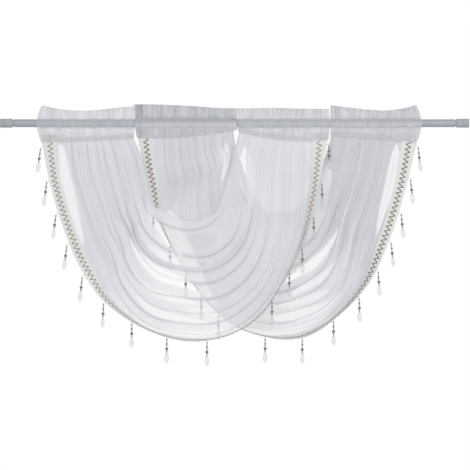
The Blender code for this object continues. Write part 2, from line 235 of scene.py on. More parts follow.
class Effects:
    """The shader node groups that more than one finish uses, each built once."""

    def __init__(self) -> None:
        """Builds the groups."""
        self.grain = self._grain()
        self.net = self._net()

    @staticmethod
    def _group(name: str, repeats: str, mask: str) -> tuple[Tree, Node, Node]:
        """A new group that turns a place into a mask and a height.

        Args:
            name: its name.
            repeats: the name of the input that sets its repeats for each metre.
            mask: the name of the mask's output.

        Returns:
            The group, its input node and its output node.
        """
        group = bpy.data.node_groups.new(name, "ShaderNodeTree")
        group.interface.new_socket("Place", in_out="INPUT", socket_type="NodeSocketVector")
        for label, way in ((repeats, "INPUT"), (mask, "OUTPUT"), ("Height", "OUTPUT")):
            group.interface.new_socket(label, in_out=way, socket_type="NodeSocketFloat")
        return group, add_node(group, "NodeGroupInput"), add_node(group, "NodeGroupOutput")

    def _grain(self) -> Tree:
        """Fine soft mottling.

        Returns:
            Its group: a mask for colour, and a finer height for bump.
        """
        group, entry, leave = self._group("fine_grain", "Scale", "Mask")
        place, scale = entry.outputs["Place"], entry.outputs["Scale"]
        finer = math_node(group, "MULTIPLY", scale, 6.0)
        for label, size, detail in (("Mask", scale, 4.0), ("Height", finer, 2.0)):
            values = {"Vector": place, "Scale": size, "Detail": detail}
            noise = add_node(group, "ShaderNodeTexNoise", values)
            group.links.new(noise.outputs["Fac"], leave.inputs[label])
        return group

    def _net(self) -> Tree:
        """A fine net of threads.

        Returns:
            Its group: how far each place is covered, and the threads' height.
        """
        group, entry, leave = self._group("fine_net", "Cells", "Cover")
        values = {"Vector": entry.outputs["Place"], "Scale": entry.outputs["Cells"], "Randomness": 0.9}
        cells = add_node(
            group, "ShaderNodeTexVoronoi", values, voronoi_dimensions="2D", feature="DISTANCE_TO_EDGE"
        )
        # A thread runs where the distance to a cell's edge is small.
        values = {"From Min": 0.05, "From Max": 0.3, "To Min": 1.0, "To Max": 0.0}
        values["Value"] = cells.outputs["Distance"]
        fading = add_node(group, "ShaderNodeMapRange", values, interpolation_type="SMOOTHSTEP")
        thread = fading.outputs["Result"]
        # Threads stop more light than an even layer would, and the holes between them less.
        cover = math_node(group, "ADD", math_node(group, "MULTIPLY", thread, 0.9), 0.6)
        group.links.new(cover, leave.inputs["Cover"])
        group.links.new(thread, leave.inputs["Height"])
        return group

    def place(self, material: Material, group: Tree, scale: float, uv: bool) -> Node:
        """Puts a group in a material.

        Args:
            material: the material.
            group: one of the groups.
            scale: its repeats for each metre.
            uv: True to read the piece's own UV map, which is in metres of cloth, and not its place.

        Returns:
            The group's node.
        """
        tree = material.node_tree
        place = add_node(tree, "ShaderNodeTexCoord").outputs["UV" if uv else "Object"]
        return add_node(tree, "ShaderNodeGroup", {"Place": place, 1: scale}, node_tree=group)


@dataclass(frozen=True)
class Finish:
    """What every finish has.

    Attributes:
        name: the material's name.
        colour: its colour.
        shade: its darker colour: the painted shade of a tulle's hollows and thick cloth, and the darker tone
            between grains, ribs or threads.
    """

    name: str
    colour: Triple
    shade: Triple


@dataclass(frozen=True)
class TulleFinish(Finish):
    """Sheer net that stops more light where its gathers and folds pile it up.

    Attributes:
        layer: the share of light that one flat layer stops.
        pitch: the net's cells, in metres.
        mottling: how unevenly the shade spreads.
        mottles: how many mottles there are for each metre.
    """

    layer: float
    pitch: float = 0.0011
    mottling: float = 0.5
    mottles: float = 14.0

    def build(self, effects: Effects) -> Material:
        """Makes the material, which reads a piece's layers and its painted shade from its attributes.

        Args:
            effects: the shared node groups.

        Returns:
            The material.
        """
        sheen = {"Sheen_Weight": 0.15, "Sheen_Roughness": 0.5}
        material = new_material(self.name, self.colour, roughness=0.85, **sheen)
        tree = material.node_tree
        net = effects.place(material, effects.net, 1 / self.pitch, uv=True)
        grain = effects.place(material, effects.grain, self.mottles, uv=False)
        layers = add_node(tree, "ShaderNodeAttribute", attribute_name="layers").outputs["Fac"]
        hollow = add_node(tree, "ShaderNodeAttribute", attribute_name="hollow").outputs["Fac"]
        cover = math_node(tree, "MULTIPLY", layers, net.outputs["Cover"])
        passed = math_node(tree, "POWER", 1 - self.layer, cover)
        centred = math_node(tree, "SUBTRACT", grain.outputs["Mask"], 0.5)
        # Painted shade from the piece's attribute, plus random mottling, mixes the colour towards its shade
        # colour.
        shade_and_mottling = math_node(tree, "ADD", hollow, math_node(tree, "MULTIPLY", centred, self.mottling))
        feed(
            material,
            Alpha=math_node(tree, "SUBTRACT", 1.0, passed),
            Base_Color=mixed_colour(tree, shade_and_mottling, self.colour, self.shade),
            Normal=bumped(tree, net.outputs["Height"], distance=0.0002, strength=0.35),
        )
        return material


@dataclass(frozen=True)
class RibbonFinish(Finish):
    """Woven ribbon: fine ribs across it, mottled a little."""

    rib: float = 0.0013  # distance between ribs
    mottles: float = 90.0  # how many mottles there are for each metre

    def build(self, effects: Effects) -> Material:
        """Makes the material, on the piece's UV map in metres.

        Args:
            effects: the shared node groups.

        Returns:
            The material.
        """
        material = new_material(self.name, self.colour, roughness=0.7, Sheen_Weight=0.2)
        tree = material.node_tree
        scale = TURN / 20 / self.rib  # a Wave texture repeats every 2 pi / 20 at scale 1
        place = add_node(tree, "ShaderNodeTexCoord").outputs["UV"]
        values = {"Vector": place, "Scale": scale, "Distortion": 1.2}
        ribs = add_node(tree, "ShaderNodeTexWave", values, bands_direction="X").outputs["Fac"]
        grain = effects.place(material, effects.grain, self.mottles, uv=False)
        mask = math_node(tree, "MULTIPLY", ribs, grain.outputs["Mask"])
        feed(
            material,
            Base_Color=mixed_colour(tree, mask, self.shade, self.colour),
            Normal=bumped(tree, ribs, distance=0.0003, strength=0.5),
        )
        return material


@dataclass(frozen=True)
class GrainFinish(Finish):
    """A finish of one colour with fine mottling, such as paint, rubber, thread or a glass bead.

    Attributes:
        roughness: how dull it is.
        grain: how many grains there are for each metre.
        relief: the depth of its bump, in metres.
        metallic: how metallic it is.
        coat: the weight of its clear coat.
        alpha: how solid it is.
    """

    roughness: float
    grain: float
    relief: float
    metallic: float = 0.0
    coat: float = 0.0
    alpha: float = 1.0

    def build(self, effects: Effects) -> Material:
        """Makes the material.

        Args:
            effects: the shared node groups.

        Returns:
            The material.
        """
        constants = {"Metallic": self.metallic, "Coat_Weight": self.coat, "Alpha": self.alpha}
        material = new_material(self.name, self.colour, self.roughness, **constants)
        tree = material.node_tree
        grain = effects.place(material, effects.grain, self.grain, uv=False)
        feed(
            material,
            Base_Color=mixed_colour(tree, grain.outputs["Mask"], self.shade, self.colour),
            Normal=bumped(tree, grain.outputs["Height"], self.relief, strength=0.4),
        )
        return material


def grid_piece(name: str, points: Array, flat: Array, finish: Material, **values: Array) -> Piece:
    """A piece from a grid of points, with a UV map in metres of flat cloth.

    Args:
        name: the piece's name.
        points: its points, in rows and columns.
        flat: each point's place on the flat cloth.
        finish: its material.
        **values: a number for each point, kept as an attribute by name.

    Returns:
        The piece.
    """
    rows, columns = points.shape[:2]
    corner = np.arange((rows - 1) * columns).reshape(rows - 1, columns)[:, :-1]
    faces = np.stack([corner, corner + columns, corner + columns + 1, corner + 1], axis=-1).reshape(-1, 4)
    mesh = bpy.data.meshes.new(name)
    mesh.from_pydata(points.reshape(-1, 3).tolist(), [], faces.tolist())
    laid = mesh.uv_layers.new(name="cloth")
    laid.data.foreach_set("uv", flat.reshape(-1, 2)[faces.reshape(-1)].astype(np.float32).ravel())
    for label, value in values.items():
        layer = mesh.attributes.new(label, "FLOAT", "POINT")
        layer.data.foreach_set("value", value.astype(np.float32).ravel())
    mesh.polygons.foreach_set("use_smooth", [True] * len(faces))
    mesh.materials.append(finish)
    return linked(bpy.data.objects.new(name, mesh))


def linked(piece: Piece) -> Piece:
    """A new object, put in the scene."""
    bpy.context.scene.collection.objects.link(piece)
    return piece


def turned(name: str, profile: Array, sides: int, finish: Material | None = None) -> Piece:
    """A piece turned about the X axis.

    Args:
        name: the piece's name.
        profile: its places along X, each with its radius, from one end to the other.
        sides: the number of sides round it.
        finish: its material.

    Returns:
        The piece, with a face over each end that has a width.
    """
    angles = np.arange(sides) * TURN / sides
    points = [(x, r * math.cos(a), r * math.sin(a)) for x, r in profile for a in angles]
    faces = [
        (k * sides + i, k * sides + (i + 1) % sides, (k + 1) * sides + (i + 1) % sides, (k + 1) * sides + i)
        for k in range(len(profile) - 1)
        for i in range(sides)
    ]
    faces.append(tuple(range(sides))[::-1])
    faces.append(tuple((len(profile) - 1) * sides + i for i in range(sides)))
    mesh = bpy.data.meshes.new(name)
    mesh.from_pydata(points, [], [face[::-1] for face in faces])
    if finish is not None:
        mesh.materials.append(finish)
        mesh.shade_smooth()
        mesh.set_sharp_from_angle(angle=math.radians(35))
    return linked(bpy.data.objects.new(name, mesh))


class Repeater:
    """Sets a small item at many places with Geometry Nodes, and keeps the result as one plain mesh."""

    def __init__(self) -> None:
        """Builds the node tree: an item at each point, turned and sized by the point's attributes."""
        self.tree = tree = bpy.data.node_groups.new("items_at_places", "GeometryNodeTree")
        tree.is_modifier = True
        self.sockets = {}
        for label, kind in (("Places", "Geometry"), ("Item", "Object"), ("Finish", "Material")):
            socket = tree.interface.new_socket(label, in_out="INPUT", socket_type="NodeSocket" + kind)
            self.sockets[label] = socket.identifier
        tree.interface.new_socket("Joined", in_out="OUTPUT", socket_type="NodeSocketGeometry")
        entry = add_node(tree, "NodeGroupInput")
        run, outward, size = (self._read(tree, label) for label in ("run", "outward", "size"))
        values = {"Primary Axis": run, "Secondary Axis": outward}
        turn = add_node(tree, "FunctionNodeAxesToRotation", values, primary_axis="X", secondary_axis="Z")
        values = {"Object": entry.outputs["Item"]}
        item = add_node(tree, "GeometryNodeObjectInfo", values, transform_space="ORIGINAL")
        values = {
            "Points": entry.outputs["Places"],
            "Instance": item.outputs["Geometry"],
            "Rotation": turn.outputs["Rotation"],
            "Scale": size,
        }
        put = add_node(tree, "GeometryNodeInstanceOnPoints", values)
        real = add_node(tree, "GeometryNodeRealizeInstances", {"Geometry": put.outputs["Instances"]})
        values = {"Geometry": real.outputs["Geometry"], "Material": entry.outputs["Finish"]}
        dress = add_node(tree, "GeometryNodeSetMaterial", values)
        add_node(tree, "NodeGroupOutput", {"Joined": dress.outputs["Geometry"]})

    @staticmethod
    def _read(tree: Tree, label: str) -> Socket:
        """The socket of a point's vector attribute."""
        node = add_node(tree, "GeometryNodeInputNamedAttribute", {"Name": label}, data_type="FLOAT_VECTOR")
        return node.outputs["Attribute"]

    def spread(self, name: str, item: Piece, finish: Material, places: Array, **vectors: Array) -> Piece:
        """Sets the item at every place.

        Args:
            name: the new piece's name.
            item: the item, one unit long on X and one across.
            finish: its material.
            places: the points.
            **vectors: for each point its run, which the item's X follows, its outward, and its size.

        Returns:
            One plain mesh of all the items.
        """
        seeds = bpy.data.meshes.new(name + "_places")
        seeds.from_pydata(places.tolist(), [], [])
        for label, value in vectors.items():
            layer = seeds.attributes.new(label, "FLOAT_VECTOR", "POINT")
            layer.data.foreach_set("vector", np.broadcast_to(value, places.shape).astype(np.float32).ravel())
        holder = linked(bpy.data.objects.new(name + "_holder", seeds))
        layout = holder.modifiers.new("Items", "NODES")
        layout.node_group = self.tree
        layout[self.sockets["Item"]] = item
        layout[self.sockets["Finish"]] = finish
        mesh = bpy.data.meshes.new_from_object(holder.evaluated_get(bpy.context.evaluated_depsgraph_get()))
        mesh.name = name
        for label in vectors:
            if label in mesh.attributes:
                mesh.attributes.remove(mesh.attributes[label])
        bpy.data.objects.remove(holder)
        mesh.shade_smooth()
        mesh.set_sharp_from_angle(angle=math.radians(50))
        return linked(bpy.data.objects.new(name, mesh))


@dataclass(frozen=True)
class HeadingShape:
    """A gathered sleeve on the rod.

    Attributes:
        name: the CAD node that it stands for.
        left: where it starts on the rod.
        right: where it ends.
        top: heights of its upper edge at even steps from left to right.
        bottom: heights of its lower edge at its two ends and middle.
        top_insets: how far its upper corners draw in, left and right.
        bottom_insets: the same of its lower corners.
        fullness: how thickly its cloth is gathered.
        depth: how much painted shade darkens the hollows between its gathers, and how far its gathers stand
            out.
        bunched: how tightly its left end is drawn together, which adds layers and painted shade there.
    """

    name: str
    left: float
    right: float
    top: tuple[float, ...]
    bottom: Triple
    top_insets: tuple[float, float]
    bottom_insets: tuple[float, float]
    fullness: float
    depth: float
    bunched: float = 0.0

    def lower_edge(self, x: Array) -> Array:
        """The heights of the lower edge at places along the rod."""
        return through_three(self.bottom, (x - self.left) / (self.right - self.left))


@dataclass
class Sleeve:
    """Builds a heading: one length of tulle folded over the rod, shirred into fine upright gathers."""

    shape: HeadingShape
    column: float = 0.00065  # distance between the mesh's columns
    pitch: float = 0.0044  # distance between fine gathers
    coarse_pitch: float = 0.0083  # distance between the broader ones that they ride on
    pocket: float = 0.0101  # radius of the pocket
    wrap: float = 58.0  # degrees that its round front reaches up and down
    neck: float = 0.0128  # how far from the rod's axis the ruffle and the band begin
    pocket_relief: float = 0.0006  # how far gathers stand out on it
    band_front: float = 0.0024  # how far the band hangs in front of the axis
    band_swell: float = 0.0006  # how much farther forward it hangs halfway up
    band_tuck: float = 0.0009  # how far it draws back where it meets the pocket
    band_relief: tuple[float, float] = (0.0009, 0.0004)  # its gathers' relief, and what halfway up adds
    ruffle_front: float = 0.0016  # how far the ruffle stands in front of the axis
    ruffle_swell: float = 0.0004  # how much farther forward it stands halfway up
    ruffle_relief: tuple[float, float] = (0.0005, 0.0008)  # the relief at its foot, and what its edge adds
    sway: float = 0.0026  # how far the ruffle leans to and fro
    sway_spread: float = 2.3  # how much broader that is than the gathers
    sway_height: float = 0.03  # height at which it leans in full
    ragged: float = 0.0006  # how uneven the ruffle's upper edge is
    ragged_height: float = 0.02  # height from which it is uneven
    crest: float = 0.0007  # how far its front and back close above their last points
    corner_share: float = 0.2  # share of the width over which the corners draw in
    corner_heights: tuple[float, float] = (0.034, 0.038)  # how far above and below the axis they end
    hem_top: float = -0.0165  # height of the turned-up lower edge's stitch line
    hem_layers: float = 0.35  # how many more layers there are below it
    pocket_layers: float = 0.4  # how many more layers bunch up below the rod's front
    pocket_shade: float = 0.6  # how much painted shade darkens the cloth above it, and painted light brightens the cloth below it
    under: tuple[float, float] = (-0.006, 0.005)  # height and spread of the cloth below the rod's front
    over: tuple[float, float] = (0.008, 0.007)  # the same of the cloth above it
    drawn_width: float = 0.009  # spread of the cloth that is drawn together at an end
    net_share: float = 2.2  # metres of net for each metre of rod, for the size of its cells
    cut_share: float = 1.3  # the same in the cut, which counts only the gathers that are modelled

    def gathers(self, x: Array, height: Array) -> Array:
        """The gathers' waves, which wander a little with height.

        Args:
            x: places along the rod.
            height: their heights.

        Returns:
            Numbers between about -1 and 1.
        """
        # Slower waves, 31 and 47 mm long, shift the fine gathers to and fro.
        wander = 0.9 * np.sin(TURN * x / 0.031) + 22.0 * height * np.sin(TURN * x / 0.047 + 1.0)
        fine = np.sin(TURN * x / self.pitch + wander)
        return 0.65 * fine + 0.35 * np.sin(TURN * x / self.coarse_pitch + 2.0 * np.sin(TURN * x / 0.026))

    def bunches(self, x: Array, height: Array) -> Array:
        """Where the cloth is bunched more and less, in waves of 19 and 37 mm, between -1 and 1."""
        bend = TURN * (x / 0.0191 - 14 * height) + 2 * np.sin(x / 0.011)
        return 0.5 * np.sin(TURN * (x / 0.037 + 9 * height)) + 0.5 * np.sin(bend)

    def side(self, x: Array) -> tuple[Array, Array, Array]:
        """Each column's points up the front.

        Args:
            x: the columns' places.

        Returns:
            The points' distance in front of the axis, their heights, and how far gathers stand out.
        """
        share = (x - self.shape.left) / (self.shape.right - self.shape.left)
        top = smooth_rows(np.array(self.shape.top)[:, None], share)
        low = self.shape.lower_edge(x)[:, None]
        band = np.linspace(0, 1, 11)[None, :]
        angle = np.radians(np.linspace(-self.wrap, self.wrap, 15))[None, :]
        ruffle = np.linspace(0.02, 1, 13)[None, :]
        flat = np.ones_like(low)
        # Each list holds the band below the rod, the pocket's round front, and the ruffle above it.
        heights = [
            low + (-self.neck - low) * band,
            self.pocket * np.sin(angle) * flat,
            self.neck + (top - self.neck) * ruffle,
        ]
        fronts = [
            (self.band_front + self.band_swell * np.sin(math.pi * band) - self.band_tuck * band**3) * flat,
            self.pocket * np.cos(angle) * flat,
            (self.ruffle_front + self.ruffle_swell * np.sin(math.pi * ruffle)) * flat,
        ]
        reach = [
            (self.band_relief[0] + self.band_relief[1] * np.sin(math.pi * band)) * flat,
            self.pocket_relief * flat + 0 * angle,
            (self.ruffle_relief[0] + self.ruffle_relief[1] * ruffle) * flat,
        ]
        relief = 0.5 + 0.5 * min(self.shape.depth, 1.0)
        return np.hstack(fronts), np.hstack(heights), np.hstack(reach) * relief

    def surface(self, x: Array) -> Array:
        """The sleeve's points, from its lower edge in front, over its top, to its lower edge behind.

        Args:
            x: the columns' places along the rod.

        Returns:
            A grid with one row for each column of the cloth.
        """
        shape = self.shape
        front, height, reach = self.side(x)
        x = x[:, None]
        share = (x - shape.left) / (shape.right - shape.left)
        upper = height > 0
        left, right = (np.where(upper, *pair) for pair in zip(shape.top_insets, shape.bottom_insets))
        inset = left * np.clip(1 - share / self.corner_share, 0, 1)
        inset = inset - right * np.clip(1 - (1 - share) / self.corner_share, 0, 1)
        edge = (height / np.where(upper, *self.corner_heights)) ** 2
        lean = np.clip(height / self.sway_height, 0, 1) ** 1.5
        sway = self.gathers(x / self.sway_spread, 0 * height) * lean
        sides = []
        for face in (-1, 1):
            wave = self.gathers(x + self.pitch / 4 * (face + 1), height)
            rise = self.ragged * wave * np.clip((height - self.ragged_height) / 0.01, 0, 1)
            forward = face * (front + reach * wave) + self.sway * sway
            sides.append(np.stack([x + inset * edge, forward, height + rise], axis=-1))
        crest = (sides[0][:, -1:] + sides[1][:, -1:]) / 2 + np.array([0, 0, self.crest])
        return np.concatenate([sides[0], crest, sides[1][:, ::-1]], axis=1)

    def build(self, finish: Material) -> Piece:
        """Makes the sleeve. Layers pile up in its steep gathers, its hem and round the pocket.

        Args:
            finish: its material.

        Returns:
            The sleeve.
        """
        shape = self.shape
        width = shape.right - shape.left
        x = np.linspace(shape.left, shape.right, int(width / self.column))
        points = self.surface(x)
        along, height = points[..., 0], points[..., 2]
        # Steep gathers show more layers, and so do the hem and the cloth that bunches below the rod.
        slope = np.abs(grid_normals(points)[..., 0])
        layers = shape.fullness / np.sqrt(np.clip(1 - slope**2, 0.06, 1))
        layers = layers * (1 + self.hem_layers * smooth_step((self.hem_top - height) / 0.003))
        under, over = bell(height, *self.under), bell(height, *self.over)
        drawn = shape.bunched * bell(along, shape.left + self.drawn_width, self.drawn_width)
        bunch = self.bunches(along, height)
        layers = layers * (1 + self.pocket_layers * under) * (1 + drawn) * np.exp(0.3 * bunch)
        # Painted shade: darker in the hollows between gathers, where the cloth bunches, above the rod's front
        # and where an end is drawn together; painted lighter on the gathers' crests and below the rod's
        # front.
        hollow = shape.depth * (0.45 - 0.28 * self.gathers(along, height) + 0.2 * bunch)
        hollow = hollow + self.pocket_shade * (over - under) * shape.depth + drawn
        run = np.cumsum(np.linalg.norm(np.diff(points, axis=1, prepend=points[:, :1]), axis=-1), axis=1)
        flat = np.stack([np.broadcast_to(x[:, None] * self.net_share, run.shape), run], axis=-1)
        piece = grid_piece(shape.name + "_sleeve", points, flat, finish, layers=layers, hollow=hollow)
        declare(piece, shape.name)
        return piece


@dataclass(frozen=True)
class Crease:
    """A fold's lower edge, and how its cloth hangs over the fold below.

    Attributes:
        shares: its place between hem band (0) and rim (1), at even steps from the left heading to the right.
        lap: how far it hangs over the cloth below it, in metres.
        depth: how far the fold above it stands forward, in metres.
        start: the share of the swag's run where it begins.
        end: the share where it stops.
    """

    shares: tuple[float, ...]
    lap: float
    depth: float
    start: float
    end: float


@dataclass(frozen=True)
class Sliver:
    """A tapering part of a sheet between two folds: light where the cloth is stretched, or doubled.

    Attributes:
        start: the share of the swag's run where it begins.
        end: the share where it stops.
        across: its middle line's places at its start, halfway and at its end.
        half: half its greatest width, as a share of the way from hem band to rim.
        thinning: how much of the layers it takes away, or below 0, how much it adds.
        fullest: the share of its length where it is widest.
    """

    start: float
    end: float
    across: Triple
    half: float
    thinning: float
    fullest: float

    def left(self, along: Array, across: Array) -> Array:
        """How many times the layers are left.

        Args:
            along: places along the swag.
            across: places across it.

        Returns:
            A number for each place, 1 outside the sliver.
        """
        share = (along - self.start) / (self.end - self.start)
        middle = through_three(self.across, share)
        inside = np.clip(share, 0, 1) ** (math.log(0.5) / math.log(self.fullest))
        width = np.maximum(self.half * np.sin(math.pi * inside) ** 0.8, 1e-5)
        edge = 0.004 + 0.25 * width
        cover = smooth_step((width + edge - np.abs(across - middle)) / edge)
        return 1 - self.thinning * cover * smooth_step(12 * inside * (1 - inside))


@dataclass(frozen=True)
class SwagShape:
    """The smooth base of one swag, without its folds.

    Attributes:
        sections: rows of the hem's place, the rim's place, and the turn of the hem band in degrees.
        left: its left heading.
        right: its right heading.
    """

    sections: tuple[tuple[float, ...], ...]
    left: HeadingShape
    right: HeadingShape

    def rows(self, along: Array) -> Array:
        """The sections' numbers at shares of the run."""
        return smooth_rows(np.array(self.sections), along)

    def hem(self, along: Array) -> tuple[Array, Array]:
        """The hem, from one heading to the other.

        Args:
            along: shares of the run.

        Returns:
            The hem's places, and the directions across its band towards the rim.
        """
        rows = self.rows(along)
        run = self.rows(np.clip(along + NUDGE, 0, 1))[:, :3] - self.rows(np.clip(along - NUDGE, 0, 1))[:, :3]
        inward = unit(np.stack([-run[:, 2], 0 * run[:, 0], run[:, 0]], axis=1))
        turn = np.radians(rows[:, 6:7])
        return rows[:, :3], inward * np.cos(turn) + np.array([0.0, 1.0, 0.0]) * np.sin(turn)

    def width(self, along: Array) -> Array:
        """The hem band's width, which grows towards the headings."""
        return RIBBON_WIDTH + RIBBON_FLARE * np.clip(1 - np.minimum(along, 1 - along) / FLARE_SHARE, 0, 1)

    def base(self, across: Array, along: Array) -> Array:
        """Points of the base, before its ends are seated.

        Args:
            across: for each row, places from -1 at the hem by 0 at its band's end to 1 at the rim.
            along: each row's share of the swag's run.

        Returns:
            A grid of points.
        """
        rows = self.rows(along)
        hem, band = self.hem(along)
        width = self.width(along)[:, None]
        start = (hem + band * width)[:, None]
        rim = rows[:, None, 3:6]
        chord = rim - start
        turn = np.radians(rows[:, 6])[:, None, None]
        leave = chord * np.cos(turn) + band[:, None] * CURL_LENGTH * np.sin(turn)
        t = across[..., None]
        strip = hem[:, None] + band[:, None] * width[:, None] * (t + 1)
        curl = start * (1 + 2 * t) * (1 - t) ** 2 + leave * t * (1 - t) ** 2
        curl += rim * t * t * (3 - 2 * t) + chord * t * t * (t - 1)
        return np.where(t <= 0, strip, curl)

    def seated(self, across: Array, along: Array) -> Array:
        """Points of the base, with its ends brought to the headings' lower edges.

        Args:
            across: the same as for the base.
            along: each row's share of the swag's run.

        Returns:
            A grid of points.
        """
        points = self.base(across, along)
        for heading, end in ((self.left, 0.0), (self.right, 1.0)):
            hold = (1 - smooth_step(np.abs(along - end) / SEAM_SHARE))[:, None]
            seat = self.base(across, np.full_like(along, end))
            seam = heading.lower_edge(seat[..., 0]) - SEAM_GAP
            points[..., 2] += (seam - seat[..., 2]) * hold
            points[..., 1] -= seat[..., 1] * hold
        return points

    def on_band(self, across: Array, along: Array, lift: float) -> tuple[Array, Array]:
        """Single places on the hem band.

        Args:
            across: each place across the band.
            along: each place along the swag.
            lift: how far the places stand out of the band's face.

        Returns:
            The places, and the directions out of the band's face.
        """
        ahead = np.clip(along + 2 * NUDGE, 0, 1)
        back = np.clip(along - 2 * NUDGE, 0, 1)
        across = across[:, None]
        run = self.seated(across, ahead)[:, 0] - self.seated(across, back)[:, 0]
        inward = self.seated(across + NUDGE, along)[:, 0] - self.seated(across - NUDGE, along)[:, 0]
        outward = unit(np.cross(run, inward))
        return self.seated(across, along)[:, 0] + outward * lift, outward


@dataclass
class SwagCloth:
    """Builds a swag's sheer sheet, with folds that hang over each other and gathers below its headings."""

    name: str
    node: str
    shape: SwagShape
    creases: tuple[Crease, ...]
    slivers: tuple[Sliver, ...]
    flat: Triple  # the cut's width, length and area
    roll: float  # depth of the turned-over rim at the swag's middle
    fullness: tuple[float, ...]  # layers of cloth at even steps from its left end to its right
    seed: float  # sets its waves apart from the other swag's
    stations: int = 340  # points along it
    fold_points: int = 23  # points across each fold
    margins: tuple[int, int] = (8, 12)  # points across the hem band and the rolled rim
    growth: float = 0.2  # share of the run over which a crease grows and dies out
    gather: float = 0.0013  # how far the fine gathers stand out
    gather_waves: tuple[float, ...] = (9.0, 14.3, 22.7)  # how many of each kind lie from hem band to rim
    streak_waves: tuple[float, ...] = (5.3, 8.9, 14.7, 21.1)  # the same of its light and dark streaks
    allowance: float = 0.011  # how far the sheet reaches up inside its headings
    roll_least: float = 0.002  # depth of the turned-over rim at the headings
    roll_depth: float = 0.0026  # how far behind the sheet it lies
    roll_share: float = 0.2  # how thin it is beside the sheet
    hem_layers: float = 2.0  # the hem band is doubled
    thin: float = 0.4  # layers up to which the colour is painted in full as brightened by the light from behind
    bright_span: float = 4.0  # how many more layers it takes for that painted light to fade out
    unlit_shade: float = 0.46  # share of the painted shade where that painted light is gone
    dense: float = 3.2  # layers above which the cloth gets more painted shade
    dense_span: float = 6.0  # how many more it takes to be darkest
    dense_shade: float = 0.34  # share of the painted shade that this adds
    bright_layers: float = 0.7  # how much the layers of cloth with painted light are raised, to cover as much as before

    def __post_init__(self) -> None:
        """Sets out the rows along the swag and the columns between its creases."""
        self.along = np.linspace(0.0, 1.0, self.stations)
        self.reach = np.minimum(self.along, 1 - self.along)[:, None]  # share of the run to the nearer heading
        count = len(self.creases) + 1
        self.phase = np.linspace(0.0, count, count * self.fold_points + 1)  # folds from the hem band
        ends = self.shape.base(np.array([[0.0, 1.0]] * self.stations), self.along)
        self.chord = np.linalg.norm(ends[:, 1] - ends[:, 0], axis=1)

    def by_crease(self, values: list[Array], last: float = 0.0) -> Array:
        """Spreads the creases' values over the cloth between them.

        Args:
            values: for each crease, a number at every station.
            last: the value at the rim. It is 0 at the hem band.

        Returns:
            A grid of numbers.
        """
        none = np.zeros_like(self.along)
        return smooth_rows(np.stack([none, *values, none + last]), self.phase / self.phase[-1]).T

    def waves(self, counts: tuple[float, ...], drift: float) -> Array:
        """Uneven waves across the sheet, which drift slowly along it.

        Args:
            counts: how many waves of each kind there are from hem band to rim.
            drift: how far they drift, in waves.

        Returns:
            A grid of numbers between about -1 and 1.
        """
        u = (self.phase / self.phase[-1])[None, :]
        a = self.along[:, None]
        total = 0
        for k, count in enumerate(counts):
            wander = drift * np.sin((3.1 + 1.3 * k) * a + 2.0 * k + 9.0 * self.seed) + (k + 1) * self.seed
            total = total + np.sin(TURN * (count * u + wander)) / (1 + 0.35 * k)
        return total / len(counts) * 1.5

    def folds(self) -> tuple[Array, Array]:
        """Where the folded cloth lies.

        Returns:
            Its places across the base, and how far forward of the base it lies.
        """
        lines = [smooth_rows(np.array(c.shares)[:, None], self.along)[:, 0] for c in self.creases]
        place = self.by_crease(lines, last=1.0)
        spacing = np.gradient(place, self.phase, axis=1)
        # Each crease grows in, dies out, and is uneven along its length.
        grown = [
            smooth_step((self.along - c.start) / self.growth)
            * smooth_step((c.end - self.along) / self.growth)
            * (0.78 + 0.22 * np.sin(13.0 * self.along + 2.1 * k))
            for k, c in enumerate(self.creases)
        ]
        lap = self.by_crease([c.lap * g / self.chord for c, g in zip(self.creases, grown)])
        strength = self.by_crease([smooth_step(g / 0.4) for g in grown])
        depth = self.by_crease([(0.2 + 0.8 * g) * c.depth for c, g in zip(self.creases, grown)])
        # A wave that is sheared by more than 1 laps over itself: by how much, for each shear.
        tilt = np.linspace(1.0, 9.0, 300)
        overlap = (np.sqrt(tilt**2 - 1) - np.arccos(1 / tilt)) / math.pi
        turn = np.interp(np.clip(lap, 0, None) / spacing, overlap, tilt) * (0.25 + 0.75 * strength)
        place = place + 0.5 * lap - turn * spacing * np.sin(TURN * self.phase) / TURN
        return np.clip(place, 0.0, 1.0), depth * (0.5 + 0.5 * np.sin(TURN * self.phase + 0.3))

    def gathers(self) -> Array:
        """The fine gathers below the headings.

        Returns:
            How far they bring the cloth forward at each point.
        """
        # Strongest just below the headings, faint from a third of the run on, and none at the hem.
        fading = (0.5 + 0.5 * smooth_step(self.reach / 0.05)) * (1 - smooth_step((self.reach - 0.03) / 0.32))
        waves = self.waves(self.gather_waves, 0.5) * np.minimum(self.phase / 0.4, 1)
        return self.gather * (fading + 0.12) * waves

    def layers(self, points: Array, across: Array) -> Array:
        """How many layers of cloth there are at each point, seen from in front.

        Args:
            points: the sheet's points.
            across: their places across the base.

        Returns:
            A grid of numbers, with fractions where the cloth is stretched.
        """
        last = 59  # the base's normals are taken at 60 places across it
        even = np.linspace(-1, 1, last + 1) * np.ones((self.stations, 1))
        level = self.shape.seated(even, self.along)
        column = np.round(np.clip((across + 1) / 2 * last, 0, last)).astype(int)
        smooth = np.take_along_axis(grid_normals(level), column[..., None], axis=1)
        # Cloth that turns away from the base's face shows more threads.
        facing = np.clip(np.abs((grid_normals(points) * smooth).sum(-1)), 0.24, 1)
        legs = 1 - smooth_step((self.reach - 0.13) / 0.36)  # 1 near the headings, 0 halfway
        fullness = smooth_rows(np.array(self.fullness)[:, None], self.along)
        streaks = np.pad(self.waves(self.streak_waves, 0.35), ((0, 0), self.margins), mode="edge")
        count = fullness * np.exp((0.15 + 0.17 * legs) * streaks) / facing**0.6
        count[:, : self.margins[0]] = self.hem_layers
        for sliver in self.slivers:
            count = count * sliver.left(self.along[:, None], across)
        count[:, -self.margins[1] :] *= self.roll_share
        return count

